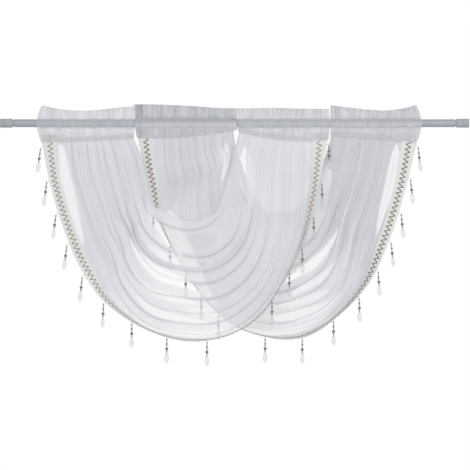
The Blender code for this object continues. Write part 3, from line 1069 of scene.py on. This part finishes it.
    def with_ends(self, points: Array) -> Array:
        """The sheet with its two ends carried up inside the headings.

        Args:
            points: the sheet between the headings.

        Returns:
            The points with three more rows at each end.
        """
        steps = np.array([1.0, 0.66, 0.33])[:, None, None] * np.array([0.0, 0.0, self.allowance])
        narrow = np.array([1.0, 0.6, 1.0])
        return np.concatenate([points[:1] * narrow + steps, points, points[-1:] * narrow + steps[::-1]])

    def surface(self) -> tuple[Array, Array]:
        """The hem band, the folds and the rolled rim.

        Returns:
            A grid of points, and their places across the base.
        """
        before, after = self.margins
        place, forward = self.folds()
        forward = forward + self.gathers()
        strip = np.linspace(-1.0, 0.0, before + 1)[None, :-1] * np.ones((self.stations, 1))
        rolled = self.roll * smooth_step((self.reach - 0.08) / 0.2) + self.roll_least
        # The rim turns back sharply, and then lies almost flat behind the sheet.
        turn = np.linspace(0.1, 1, after)[None, :]
        behind = -self.roll_depth * np.sin(np.minimum(turn * 2.2, 1) * math.pi / 2) - 0.0008 * turn
        across = np.hstack([strip, place, 1 - turn * (rolled / self.chord[:, None])])
        points = self.shape.seated(across, self.along)
        points[..., 1] -= np.hstack([0 * strip, forward, behind + forward[:, -1:]])
        return points, across

    def build(self, finish: Material) -> Piece:
        """Makes the sheet, with painted light where it has few layers, as the light from behind brightens it,
        and painted shade where it is thick.

        Args:
            finish: its material.

        Returns:
            The sheet.
        """
        points, across = self.surface()
        layers = np.pad(self.layers(points, across), ((3, 3), (0, 0)), mode="edge")
        points = self.with_ends(points)
        # Painted light and shade: thin cloth keeps the bright colour, as if lit from behind, and thicker
        # cloth gets painted shade, the densest most.
        bright = 1 - smooth_step((layers - self.thin) / self.bright_span)
        hollow = self.unlit_shade * (1 - bright)
        hollow = hollow + self.dense_shade * smooth_step((layers - self.dense) / self.dense_span)
        layers = layers * (1 + self.bright_layers * bright)
        width, length, area = self.flat
        run = np.cumsum(np.linalg.norm(np.diff(points, axis=0, prepend=points[:1]), axis=-1).mean(axis=1))
        over = np.linspace(0.0, length, points.shape[1])
        flat = np.stack(np.broadcast_arrays(run[:, None], over[None, :]), axis=-1)
        piece = grid_piece(self.name, points, flat, finish, layers=layers, hollow=hollow)
        declare(piece, self.node)
        return piece


@dataclass(frozen=True)
class Bead:
    """One bead of a drop: its kind, how far its middle is below the drop's top, its length and its width."""

    kind: BeadKind
    below: float
    length: float
    width: float


@dataclass
class Trim:
    """Builds a swag's ribbon, its zigzag and edge stitches, and its beaded drops."""

    name: str
    node: str
    shape: SwagShape
    drops: tuple[float, ...]  # shares of the swag's run where drops hang
    lean_left: float  # how far the left side's drops lean out, for a hem that hangs upright
    lean_right: float  # the same of the right side's
    beads: tuple[Bead, ...]
    stitch: float  # how thick the zigzag's thread lies
    veiled: tuple[float, float]  # the stretch where the photograph shows only a faint line
    zigzag_pitch: float = 0.0105
    zigzag_reach: float = 0.0058  # half the zigzag's width
    loop: Triple = (0.0038, 0.0020, 0.0012)  # an edge loop's length, width and thickness
    edge_pitch: float = 0.0042  # distance between edge loops
    thickness: float = 0.0004
    ripple: float = 0.0004  # how far the zigzag's pull bends the ribbon's edges
    middle: float = -0.56  # the ribbon's middle, across the hem band
    thread: float = 0.0007
    thread_length: float = 0.036
    stand_off: float = 0.005  # how far below the hem a drop's thread turns down
    allowance: float = 0.017  # how far the ribbon reaches up inside its headings
    set_back: float = 0.0005  # how far it lies behind the headings' front there

    def row(self, across: float, along: Array, lift: float) -> tuple[Array, Array]:
        """One row of places along the ribbon, and the directions out of its face."""
        return self.shape.on_band(np.full_like(along, across), along, lift)

    def stations(self, pitch: float) -> Array:
        """Places that lie evenly along the ribbon's middle.

        Args:
            pitch: the distance between them.

        Returns:
            Their shares of the run.
        """
        along = np.linspace(0.0, 1.0, 1200)
        run = run_along(self.shape.seated(np.full((len(along), 1), self.middle), along)[:, 0])
        return np.interp(np.arange(pitch / 2, run[-1], pitch), run, along)

    def shown(self, along: Array) -> Array:
        """How thick the sewing is drawn at shares of the run: in full, but fine on the veiled stretch."""
        start, end = self.veiled
        return 1 - 0.75 * smooth_step((along - start) / 0.02) * smooth_step((end - along) / 0.02)

    def ribbon(self, finish: Material) -> Piece:
        """Makes the ribbon, with its ends tucked up into the headings.

        Args:
            finish: its material.

        Returns:
            The ribbon.
        """
        along = np.linspace(0.0, 1.0, 420)
        across = np.linspace(-1.0, RIBBON_EDGE, 12)
        rows = [self.row(value, along, RIBBON_LIFT) for value in across]
        points, outward = (np.stack(part, axis=1) for part in zip(*rows))
        run = run_along(points[:, len(across) // 2])
        pull = (np.abs(across - self.middle) / 0.45) ** 2  # 0 at its middle, about 1 at its edges
        ripple = np.sin(TURN * run / self.zigzag_pitch)[:, None] * pull
        points += outward * (self.ripple * ripple)[..., None]
        climb = np.linspace(self.allowance, 0.002, 6)
        steps = np.stack([0 * climb, 0 * climb + self.set_back, climb], axis=1)[:, None]
        points = np.concatenate([points[:1] + steps, points, points[-1:] + steps[::-1]])
        run = np.concatenate([-climb, run, run[-1] + climb[::-1]])
        flat = np.stack(np.broadcast_arrays(run[:, None], (across + 1)[None, :] * RIBBON_WIDTH), axis=-1)
        piece = grid_piece(self.name + "_ribbon", points, flat, finish)
        thick = piece.modifiers.new("Thickness", "SOLIDIFY")
        thick.thickness = self.thickness
        thick.offset = 0.0
        declare(piece, self.node)
        return piece

    def zigzag(self) -> Layout:
        """The stitches that cross the ribbon to and fro.

        Returns:
            Their places, runs, outward directions and sizes.
        """
        half = self.zigzag_pitch / 2
        climb = np.arange(int(self.allowance / half), 0, -1) * half
        along = np.concatenate([0 * climb, self.stations(half), 0 * climb + 1])
        side = np.where(np.arange(len(along)) % 2, 1.0, -1.0)
        across = self.middle + side * self.zigzag_reach / self.shape.width(along)
        corner, outward = self.shape.on_band(across, along, STITCH_LIFT)
        rise = np.concatenate([climb, np.zeros(len(along) - 2 * len(climb)), climb[::-1]])
        corner += np.stack([0 * rise, self.set_back * (rise > 0), rise], axis=1)
        step = corner[1:] - corner[:-1]
        shown = self.shown(along[1:])
        size = np.stack([np.linalg.norm(step, axis=1) + 0.001, self.stitch * shown, 0.0006 * shown], axis=1)
        return {"places": (corner[1:] + corner[:-1]) / 2, "run": step, "outward": outward[1:], "size": size}

    def edging(self) -> Layout:
        """The small loops along both edges.

        Returns:
            Their places, runs, outward directions and sizes.
        """
        along = self.stations(self.edge_pitch)
        rows = [self.row(across, along, STITCH_LIFT) for across in (-0.985, RIBBON_EDGE - 0.015)]
        places, outward = (np.concatenate(part) for part in zip(*rows))
        run = np.concatenate([np.gradient(place, axis=0) for place, _ in rows])
        size = np.array(self.loop) * self.shown(np.tile(along, 2))[:, None]
        return {"places": places, "run": run, "outward": outward, "size": size}

    def hanging(self) -> tuple[Array, Array, Array]:
        """How the drops hang.

        Returns:
            Each drop's root on the ribbon's edge, the place that it hangs from, and the way it hangs.
        """
        along = np.array(self.drops)
        root, _ = self.row(-0.99, along, RIBBON_LIFT)
        _, band = self.shape.hem(along)
        lean = -band[:, 0] * np.where(band[:, 0] > 0, self.lean_left, self.lean_right)
        down = unit(np.stack([lean, 0 * lean, -np.ones_like(lean)], axis=1))
        return root, root - band * self.stand_off, down

    def threads(self) -> Layout:
        """The threads that carry the drops, each with a bend below the hem.

        Returns:
            Their places, runs, outward directions and sizes.
        """
        root, top, down = self.hanging()
        bend = top + down * 0.003
        start, end = np.concatenate([root, bend]), np.concatenate([bend, top + down * self.thread_length])
        step = end - start
        length = np.linalg.norm(step, axis=1) + 0.0004
        size = np.stack([length, *np.full((2, len(step)), self.thread)], axis=1)
        return {"places": (start + end) / 2, "run": step, "outward": np.array([0.0, -1.0, 0.0]), "size": size}

    def beads_of(self, kind: BeadKind) -> Layout:
        """One kind of bead on all the drops.

        Args:
            kind: the kind.

        Returns:
            Their places, runs, outward directions and sizes.
        """
        _, top, down = self.hanging()
        chosen = [bead for bead in self.beads if bead.kind is kind]
        places = np.concatenate([top + down * bead.below for bead in chosen])
        sizes = np.repeat([(bead.length, bead.width, bead.width) for bead in chosen], len(top), axis=0)
        turn = np.arange(len(places)) * 2.4
        outward = np.stack([np.sin(turn), -np.cos(turn), 0 * turn], axis=1)
        return {"places": places, "run": np.tile(down, (len(chosen), 1)), "outward": outward, "size": sizes}

    def build(
        self, repeater: Repeater, items: dict[str, Piece], finishes: dict[str, Material]
    ) -> list[Piece]:
        """Makes every piece of the trim.

        Args:
            repeater: sets the stitches and beads in place.
            items: the stitch, loop, thread and beads to repeat, by name.
            finishes: the materials by name.

        Returns:
            The pieces.
        """
        ribbon = self.ribbon(finishes["ribbon"])
        parts = [
            ("zigzag", "stitch", "ribbon", self.zigzag()),
            ("edging", "loop", "ribbon", self.edging()),
            ("threads", "thread", "ribbon", self.threads()),
            *((kind.value, kind.value, "", self.beads_of(kind)) for kind in BeadKind),
        ]
        pieces = []
        for label, item, slot, layout in parts:
            piece = repeater.spread(f"{self.name}_{label}", items[item], finishes[label], **layout)
            declare(piece)
            pieces.append(piece)
        length = float(len(self.stations(0.001)) * 0.001)
        return [ribbon, *pieces]


@dataclass
class Rod:
    """Builds the rod's tube and its two rubber feet."""

    radius: float = 0.00825
    wall: float = 0.001
    lip: float = 0.0004  # bevel of the tube's open ends
    sides: int = 96
    foot_radius: float = 0.0093
    foot_length: float = 0.0265
    foot_sides: int = 72
    face_inset: float = 0.0036  # how far inside the foot's side its flat outer face ends
    edge: float = 0.0013  # radius of its round outer edge
    grooves: int = 3
    groove_start: float = 0.0055  # distance of the first one from the outer face
    groove_pitch: float = 0.0032
    groove_depth: float = 0.0005  # and half its width
    chamfer: float = 0.0008  # bevel of the foot's inner end
    neck: float = 0.0035  # the stretch of plug that shows between foot and tube
    plug_radius: float = 0.00695
    plug_length: float = 0.015  # how far the plug reaches into the tube

    def build(self, paint: Material, rubber: Material) -> list[Piece]:
        """Makes the tube and the feet, turned about the rod's axis.

        Args:
            paint: the tube's finish.
            rubber: the feet's finish.

        Returns:
            The three pieces.
        """
        start = self.foot_length + self.neck
        tube = [(start, self.radius - self.wall), (start, self.radius - self.lip)]
        tube.append((start + self.lip, self.radius))
        tube += [(ROD_SPAN - x, r) for x, r in reversed(tube)]
        pieces = [turned("rod", np.array(tube), self.sides, paint)]
        declare(pieces[0], "rod_tube")
        for name, origin, inward in (("left", 0.0, 1), ("right", ROD_SPAN, -1)):
            profile = np.array(self.foot_profile())
            profile[:, 0] = origin + inward * profile[:, 0]
            pieces.append(turned(f"foot_{name}", profile[::inward], self.foot_sides, rubber))
            declare(pieces[-1], f"end_cap_{name}")
        return pieces

    def foot_profile(self) -> list[tuple[float, float]]:
        """The feet's profile: a round edge, grip grooves, a neck and a plug.

        Returns:
            Distances from the flat outer face, each with its radius.
        """
        radius, edge, depth, end = self.foot_radius, self.edge, self.groove_depth, self.foot_length
        profile = [(0.0, radius - self.face_inset), (0.0, radius - edge)]
        for angle in np.radians((30, 60, 90)):
            profile.append((edge * (1 - math.cos(angle)), radius - edge * (1 - math.sin(angle))))
        for ring in range(self.grooves):
            groove = self.groove_start + ring * self.groove_pitch
            profile += [(groove, radius), (groove + depth, radius - depth), (groove + 2 * depth, radius)]
        profile += [(end - self.chamfer, radius), (end, radius - self.chamfer), (end, self.plug_radius)]
        return profile + [(end + self.neck + self.plug_length, self.plug_radius)]


def bead_profile(steps: int) -> Array:
    """The profile of a round bead, one unit long and one across, open a little at its hole."""
    angles = np.linspace(0.12, math.pi - 0.12, steps)
    return np.stack([-np.cos(angles) / 2, np.sin(angles) / 2], axis=1)


def make_items() -> dict[str, Piece]:
    """The small items that are repeated, each one unit long on X and one across.

    Returns:
        The items by name.
    """
    crystal = ((-0.5, 0.10), (-0.40, 0.30), (-0.16, 0.46), (0.10, 0.50), (0.36, 0.34), (0.5, 0.08))
    capsule = ((-0.5, 0.12), (-0.44, 0.38), (-0.3, 0.5), (0.3, 0.5), (0.44, 0.38), (0.5, 0.12))
    profiles = {
        "stitch": (capsule, 8),
        "loop": (bead_profile(4), 6),
        "thread": (((-0.5, 0.5), (0.5, 0.5)), 6),
        "dark": (bead_profile(7), 12),
        "silver": (bead_profile(6), 10),
        "crystal": (crystal, 6),
    }
    items = {}
    for label, (profile, sides) in profiles.items():
        items[label] = turned("item_" + label, np.array(profile), sides)
        items[label].hide_render = True
    return items


@dataclass
class Studio:
    """The floor, light and camera.

    Attributes:
        pixel: the photograph's scale at the rod, in metres for each pixel.
        frame: the photograph's width in pixels.
        rod_row: the pixel row of the rod's middle.
        distance: how far the camera stands back.
        sensor: the camera's sensor width in millimetres.
        floor: the floor's height.
        slab: the floor's length, depth and thickness.
        lamps: each lamp's name, place, width and power.
    """

    pixel: float = 0.0021
    frame: int = 470
    rod_row: float = 123.2
    distance: float = 6.0
    sensor: float = 36.0
    floor: float = -0.92
    slab: Triple = (2.6, 1.1, 0.02)
    lamps: tuple[tuple[str, Triple, float, float], ...] = (
        ("key", (0.0, -2.7, 0.9), 2.4, 31.0),
        ("fill", (1.9, -2.0, 0.2), 1.8, 15.5),
        ("back", (0.6, 2.2, 1.0), 1.6, 17.0),
    )

    def camera(self) -> None:
        """A long lens that looks straight at the curtain, framed as in the photograph."""
        data = bpy.data.cameras.new("view")
        data.sensor_width = self.sensor
        data.lens = self.sensor * self.distance / (self.frame * self.pixel)
        camera = linked(bpy.data.objects.new("view", data))
        middle = self.frame / 2
        camera.location = (middle * self.pixel, -self.distance, (self.rod_row - middle) * self.pixel)
        camera.rotation_euler = (math.pi / 2, 0.0, 0.0)
        bpy.context.scene.camera = camera

    def lamp(self, name: str, place: Triple, width: float, power: float) -> None:
        """A soft square lamp that faces the curtain's middle.

        Args:
            name: its name.
            place: where it stands.
            width: how wide it is.
            power: its power in watts.
        """
        data = bpy.data.lights.new(name, "AREA")
        data.size = width
        data.energy = power
        lamp = linked(bpy.data.objects.new(name, data))
        lamp.location = place
        aim = Vector((ROD_SPAN / 2, 0.0, -0.22)) - Vector(place)
        lamp.rotation_euler = aim.to_track_quat("-Z", "Y").to_euler()

    def surroundings(self) -> None:
        """A white backdrop for the camera, and a softer light from all round."""
        world = bpy.data.worlds.new("studio")
        bpy.context.scene.world = world
        world.use_nodes = True
        tree = world.node_tree
        tree.nodes.clear()
        seen = add_node(tree, "ShaderNodeBackground", {"Color": (1.0, 1.0, 1.0, 1.0)})
        soft = add_node(tree, "ShaderNodeBackground", {"Color": (0.96, 0.98, 1.0, 1.0), "Strength": 0.47})
        path = add_node(tree, "ShaderNodeLightPath")
        values = {0: path.outputs["Is Camera Ray"], 1: soft.outputs[0], 2: seen.outputs[0]}
        mix = add_node(tree, "ShaderNodeMixShader", values)
        add_node(tree, "ShaderNodeOutputWorld", {"Surface": mix.outputs[0]})

    def ground(self, effects: Effects) -> None:
        """A pale floor slab under the curtain.

        Args:
            effects: the shared node groups.
        """
        bpy.ops.mesh.primitive_cube_add(size=1.0, location=(ROD_SPAN / 2, 0.0, self.floor - self.slab[2] / 2))
        floor = bpy.context.object
        floor.name = "floor"
        floor.scale = self.slab
        pale = GrainFinish("pale_floor", (0.86, 0.86, 0.85), (0.83, 0.83, 0.82), 0.8, 6.0, 0.0002)
        floor.data.materials.append(pale.build(effects))

    def build(self, effects: Effects) -> None:
        """Makes everything round the curtain.

        Args:
            effects: the shared node groups.
        """
        scene = bpy.context.scene
        scene.view_settings.view_transform = "Standard"
        scene.cycles.transparent_max_bounces = 48
        self.camera()
        self.surroundings()
        self.ground(effects)
        for lamp in self.lamps:
            self.lamp(*lamp)


FRONT_LEFT = HeadingShape(
    name="heading_front_left",
    left=0.0770,
    right=0.2822,
    top=(0.0365, 0.0302, 0.0258, 0.0269, 0.0315, 0.0350),
    bottom=(-0.0410, -0.0378, -0.0326),
    top_insets=(0.009, -0.0014),
    bottom_insets=(0.009, 0.001),
    fullness=2.1,
    depth=0.3,
)
BACK_LEFT = HeadingShape(
    name="heading_back_left",
    left=0.2832,
    right=0.4977,
    top=(0.0389, 0.0386, 0.0370, 0.0347, 0.0315, 0.0305),
    bottom=(-0.0315, -0.0279, -0.0140),
    top_insets=(-0.0014, -0.0008),
    bottom_insets=(0.007, 0.001),
    fullness=5.0,
    depth=1.0,
    bunched=0.6,
)
FRONT_RIGHT = HeadingShape(
    name="heading_front_right",
    left=0.4992,
    right=0.6924,
    top=(0.0305, 0.0307, 0.0315, 0.0302, 0.0296, 0.0290),
    bottom=(-0.0179, -0.0357, -0.0353),
    top_insets=(-0.0008, 0.001),
    bottom_insets=(0.001, 0.003),
    fullness=2.8,
    depth=0.45,
)
BACK_RIGHT = HeadingShape(
    name="heading_back_right",
    left=0.6934,
    right=0.8850,
    top=(0.0368, 0.0323, 0.0284, 0.0260, 0.0305, 0.0372),
    bottom=(-0.0273, -0.0332, -0.0410),
    top_insets=(0.001, 0.009),
    bottom_insets=(0.001, 0.009),
    fullness=3.6,
    depth=0.65,
)
FRONT_SHAPE = SwagShape(
    sections=(
        (0.0888, 0.000, -0.0420, 0.2810, 0.000, -0.0340, 0),
        (0.1061, -0.009, -0.1281, 0.2990, -0.011, -0.0735, 0),
        (0.1313, -0.014, -0.2121, 0.3085, -0.016, -0.1134, 4),
        (0.1670, -0.018, -0.2982, 0.3145, -0.020, -0.1470, 3),
        (0.2180, -0.028, -0.3717, 0.3235, -0.024, -0.1715, 57),
        (0.2982, -0.036, -0.4274, 0.3423, -0.027, -0.1827, 85),
        (0.3864, -0.040, -0.4557, 0.3696, -0.029, -0.1974, 82),
        (0.4746, -0.040, -0.4463, 0.4011, -0.029, -0.2048, 88),
        (0.5460, -0.040, -0.4032, 0.4326, -0.027, -0.2006, 88),
        (0.5964, -0.038, -0.3297, 0.4557, -0.023, -0.1827, 87),
        (0.6390, -0.032, -0.2478, 0.4673, -0.018, -0.1449, 69),
        (0.6672, -0.018, -0.1491, 0.4830, -0.011, -0.0950, 42),
        (0.6872, 0.000, -0.0380, 0.5019, 0.000, -0.0200, 6),
    ),
    left=FRONT_LEFT,
    right=FRONT_RIGHT,
)
BACK_SHAPE = SwagShape(
    sections=(
        (0.2898, 0.000, -0.0330, 0.4904, 0.000, -0.0155, 0),
        (0.3065, 0.011, -0.1113, 0.4950, 0.007, -0.0500, 0),
        (0.3255, 0.010, -0.1911, 0.5082, 0.012, -0.0882, 64),
        (0.3645, 0.008, -0.2709, 0.5229, 0.016, -0.1302, 88),
        (0.4137, 0.005, -0.3507, 0.5366, 0.019, -0.1596, 87),
        (0.4788, 0.002, -0.4179, 0.5565, 0.021, -0.1806, 88),
        (0.5565, -0.005, -0.4494, 0.5817, 0.022, -0.1869, 85),
        (0.6384, -0.009, -0.4494, 0.6090, 0.021, -0.1848, 78),
        (0.7098, -0.006, -0.4053, 0.6321, 0.019, -0.1680, 82),
        (0.7749, 0.002, -0.3360, 0.6531, 0.016, -0.1407, 57),
        (0.8180, 0.006, -0.2457, 0.6720, 0.012, -0.1071, 14),
        (0.8495, 0.004, -0.1449, 0.6825, 0.008, -0.0735, 0),
        (0.8747, 0.000, -0.0399, 0.6951, 0.000, -0.0300, 0),
    ),
    left=BACK_LEFT,
    right=BACK_RIGHT,
)
FRONT_CREASES = tuple(
    Crease(*row)
    for row in (
        ((0.15, 0.15, 0.14, 0.12, 0.15, 0.15, 0.15), 0.001, 0.003, 0.26, 0.80),
        ((0.26, 0.26, 0.26, 0.24, 0.28, 0.27, 0.26), 0.004, 0.006, 0.20, 0.82),
        ((0.36, 0.35, 0.35, 0.34, 0.36, 0.36, 0.37), 0.0, 0.003, 0.28, 0.88),
        ((0.47, 0.45, 0.43, 0.45, 0.46, 0.48, 0.48), 0.004, 0.007, 0.18, 0.90),
        ((0.57, 0.56, 0.59, 0.56, 0.57, 0.58, 0.58), 0.005, 0.008, 0.12, 0.84),
        ((0.68, 0.67, 0.65, 0.64, 0.65, 0.66, 0.68), 0.012, 0.011, 0.16, 0.90),
        ((0.78, 0.78, 0.77, 0.74, 0.74, 0.76, 0.78), 0.005, 0.007, 0.18, 0.90),
        ((0.90, 0.90, 0.90, 0.91, 0.94, 0.95, 0.93), 0.003, 0.006, 0.12, 0.84),
    )
)
BACK_CREASES = tuple(
    Crease(*row)
    for row in (
        ((0.13, 0.13, 0.14, 0.13, 0.12, 0.14, 0.13), 0.001, 0.003, 0.44, 0.80),
        ((0.23, 0.24, 0.22, 0.22, 0.24, 0.25, 0.24), 0.004, 0.005, 0.40, 0.86),
        ((0.33, 0.34, 0.31, 0.32, 0.32, 0.33, 0.34), 0.0, 0.003, 0.42, 0.82),
        ((0.43, 0.44, 0.40, 0.39, 0.42, 0.44, 0.44), 0.004, 0.006, 0.38, 0.90),
        ((0.53, 0.54, 0.49, 0.46, 0.51, 0.53, 0.54), 0.006, 0.008, 0.36, 0.88),
        ((0.64, 0.65, 0.62, 0.60, 0.64, 0.64, 0.64), 0.004, 0.006, 0.34, 0.92),
        ((0.76, 0.77, 0.74, 0.72, 0.72, 0.75, 0.76), 0.003, 0.005, 0.22, 0.84),
        ((0.89, 0.90, 0.92, 0.92, 0.91, 0.90, 0.90), 0.002, 0.004, 0.24, 0.78),
    )
)
FRONT_SLIVERS = tuple(
    Sliver(*row)
    for row in (
        (0.005, 0.235, (0.015, 0.045, 0.0), 0.064, 0.82, 0.36),
        (0.835, 0.975, (0.71, 0.84, 0.875), 0.054, 0.82, 0.45),
        (0.27, 0.53, (0.91, 0.87, 0.71), 0.024, 0.72, 0.5),
        (0.41, 0.54, (0.89, 0.82, 0.80), 0.070, 0.70, 0.6),
        (0.54, 0.70, (0.84, 0.84, 0.84), 0.060, 0.45, 0.4),
        (0.36, 0.60, (0.72, 0.69, 0.69), 0.020, 0.50, 0.6),
        (0.27, 0.56, (0.545, 0.58, 0.52), 0.036, 0.88, 0.6),
        (0.17, 0.38, (0.37, 0.34, 0.39), 0.013, 0.42, 0.6),
        (0.21, 0.36, (0.48, 0.50, 0.50), 0.008, 0.45, 0.5),
        (0.34, 0.55, (0.44, 0.44, 0.42), 0.024, 0.68, 0.6),
        (0.38, 0.56, (0.32, 0.28, 0.26), 0.034, 0.60, 0.5),
        (0.39, 0.60, (0.07, 0.11, 0.16), 0.036, 0.55, 0.5),
        (0.50, 0.62, (0.38, 0.36, 0.40), 0.030, 0.40, 0.5),
        (0.70, 0.84, (0.50, 0.51, 0.54), 0.014, 0.45, 0.5),
        (0.74, 0.86, (0.37, 0.375, 0.37), 0.013, 0.50, 0.5),
        (0.72, 0.88, (0.24, 0.25, 0.21), 0.016, 0.62, 0.45),
        (0.83, 0.97, (0.68, 0.735, 0.865), 0.062, 0.25, 0.5),
        (0.58, 0.86, (0.03, 0.05, 0.06), 0.090, 0.50, 0.5),
        (0.42, 0.57, (0.02, 0.025, 0.0), 0.035, -1.2, 0.4),
    )
)
BACK_SLIVERS = tuple(
    Sliver(*row)
    for row in (
        (0.80, 0.998, (0.012, 0.055, 0.03), 0.062, 0.90, 0.66),
        (0.055, 0.19, (0.88, 0.85, 0.74), 0.038, 0.76, 0.40),
        (0.08, 0.34, (0.97, 0.97, 0.97), 0.050, 0.55, 0.5),
        (0.54, 0.785, (0.53, 0.585, 0.51), 0.030, 0.88, 0.4),
        (0.55, 0.73, (0.43, 0.47, 0.41), 0.024, 0.68, 0.45),
        (0.72, 0.84, (0.51, 0.50, 0.52), 0.009, 0.50, 0.5),
        (0.68, 0.83, (0.31, 0.33, 0.35), 0.012, 0.45, 0.5),
        (0.50, 0.70, (0.27, 0.26, 0.22), 0.045, 0.62, 0.5),
        (0.52, 0.68, (0.37, 0.38, 0.33), 0.030, 0.50, 0.5),
        (0.42, 0.66, (0.05, 0.11, 0.13), 0.036, 0.55, 0.5),
        (0.60, 0.93, (0.84, 0.91, 0.93), 0.140, 0.62, 0.4),
        (0.05, 0.25, (0.80, 0.745, 0.70), 0.050, 0.30, 0.5),
        (0.17, 0.40, (0.12, 0.15, 0.10), 0.160, 0.80, 0.35),
        (0.12, 0.54, (-0.75, -0.75, -0.75), 0.500, 0.92, 0.5),
        (0.49, 0.64, (0.02, 0.025, 0.02), 0.035, -1.2, 0.5),
    )
)
FRONT_FULLNESS = (5.0, 5.2, 4.8, 2.4, 1.2, 1.35, 2.5, 3.4, 4.0)
BACK_FULLNESS = (6.0, 5.2, 2.5, 1.5, 1.25, 2.4, 5.6, 8.4, 8.8)
FRONT_DROPS = (
    0.012, 0.075, 0.143, 0.205, 0.271, 0.336, 0.397, 0.467,
    0.545, 0.706, 0.770, 0.821, 0.880, 0.934, 0.991,
)
BACK_DROPS = (
    0.018, 0.081, 0.159, 0.234, 0.294, 0.345, 0.392, 0.500,
    0.579, 0.655, 0.720, 0.778, 0.832, 0.883, 0.939, 0.992,
)
DROP_BEADS = tuple(
    Bead(*row)
    for row in (
        (BeadKind.DARK, 0.0055, 0.0036, 0.0036),
        (BeadKind.SILVER, 0.0100, 0.0030, 0.0034),
        (BeadKind.DARK, 0.0145, 0.0052, 0.0040),
        (BeadKind.SILVER, 0.0190, 0.0030, 0.0036),
        (BeadKind.DARK, 0.0245, 0.0066, 0.0066),
        (BeadKind.SILVER, 0.0300, 0.0036, 0.0044),
        (BeadKind.CRYSTAL, 0.0430, 0.0220, 0.0098),
    )
)


def make_finishes(effects: Effects) -> dict[str, Material]:
    """Every material of the curtain.

    Args:
        effects: the shared node groups.

    Returns:
        The materials by name.
    """
    finishes = {
        # The tulle's colour is painted bright, as thin net looks with the light from behind it; its shade
        # colour is painted shade for thick cloth.
        "tulle": TulleFinish("sheer_tulle", (0.855, 0.855, 0.885), (0.62, 0.62, 0.66), 0.42),
        # The sleeves' shade colour is painted shade for the hollows of their gathers and the cloth above the
        # rod.
        "sleeve": TulleFinish("shirred_tulle", (0.80, 0.805, 0.83), (0.53, 0.54, 0.59), 0.24, 0.0009),
        "ribbon": RibbonFinish("cream_ribbon", (0.91, 0.888, 0.85), (0.80, 0.778, 0.74)),
    }
    # Each row: part, name, colour, shade, roughness, grain, relief, metallic, coat and alpha.
    for label, *values in (
        ("zigzag", "bronze_thread", (0.32, 0.285, 0.23), (0.06, 0.052, 0.036), 0.5, 900.0, 0.0003, 0.25),
        ("edging", "pale_thread", (0.95, 0.94, 0.92), (0.82, 0.8, 0.76), 0.6, 900.0, 0.0003),
        ("threads", "dark_thread", (0.22, 0.21, 0.2), (0.12, 0.11, 0.1), 0.6, 900.0, 0.0002),
        ("dark", "dark_glass", (0.25, 0.243, 0.238), (0.14, 0.135, 0.13), 0.18, 500.0, 0.0001, 0.0, 0.6),
        ("silver", "silvered_glass", (0.55, 0.55, 0.56), (0.4, 0.4, 0.42), 0.22, 500.0, 0.0001, 0.85),
        ("crystal", "clear_crystal", (0.74, 0.75, 0.76), (0.62, 0.63, 0.65), 0.06, 120.0, 0.0001,
         0.0, 0.5, 0.27),
        ("paint", "rod_paint", (0.435, 0.46, 0.525), (0.40, 0.425, 0.49), 0.55, 60.0, 0.0001, 0.1),
        ("rubber", "foot_rubber", (0.45, 0.485, 0.50), (0.38, 0.415, 0.43), 0.72, 220.0, 0.0002),
    ):
        finishes[label] = GrainFinish(*values)
    return {label: finish.build(effects) for label, finish in finishes.items()}


def main() -> None:
    """Builds the curtain and its studio in order."""
    logging.basicConfig(level=logging.INFO, format="%(message)s")
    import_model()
    effects = Effects()
    Studio().build(effects)
    finishes = make_finishes(effects)
    pieces = Rod().build(finishes["paint"], finishes["rubber"])
    for heading in (FRONT_LEFT, FRONT_RIGHT, BACK_LEFT, BACK_RIGHT):
        pieces.append(Sleeve(heading).build(finishes["sleeve"]))
    swags = (
        SwagCloth(
            "front_swag_sheet", "panel_front", FRONT_SHAPE, FRONT_CREASES, FRONT_SLIVERS,
            flat=(1.08, 0.36, 0.26), roll=0.020, fullness=FRONT_FULLNESS, seed=0.17,
        ),
        SwagCloth(
            "back_swag_sheet", "panel_back", BACK_SHAPE, BACK_CREASES, BACK_SLIVERS,
            flat=(1.08, 0.36, 0.25), roll=0.010, fullness=BACK_FULLNESS, seed=0.61,
        ),
    )
    pieces += [swag.build(finishes["tulle"]) for swag in swags]
    repeater = Repeater()
    items = make_items()
    trims = (
        Trim(
            "front_trim", "trim_front", FRONT_SHAPE, FRONT_DROPS,
            lean_left=0.13, lean_right=0.03, beads=DROP_BEADS, stitch=0.0014, veiled=(0.54, 0.83),
        ),
        Trim(
            "back_trim", "trim_back", BACK_SHAPE, BACK_DROPS,
            lean_left=0.0, lean_right=0.11, beads=DROP_BEADS, stitch=0.0020, veiled=(0.155, 0.49),
        ),
    )
    for trim in trims:
        pieces += trim.build(repeater, items, finishes)
    for item in items.values():
        bpy.data.objects.remove(item)
    for piece in pieces:
        LOG.info("%s", piece.name)


if __name__ == "__main__":
    main()
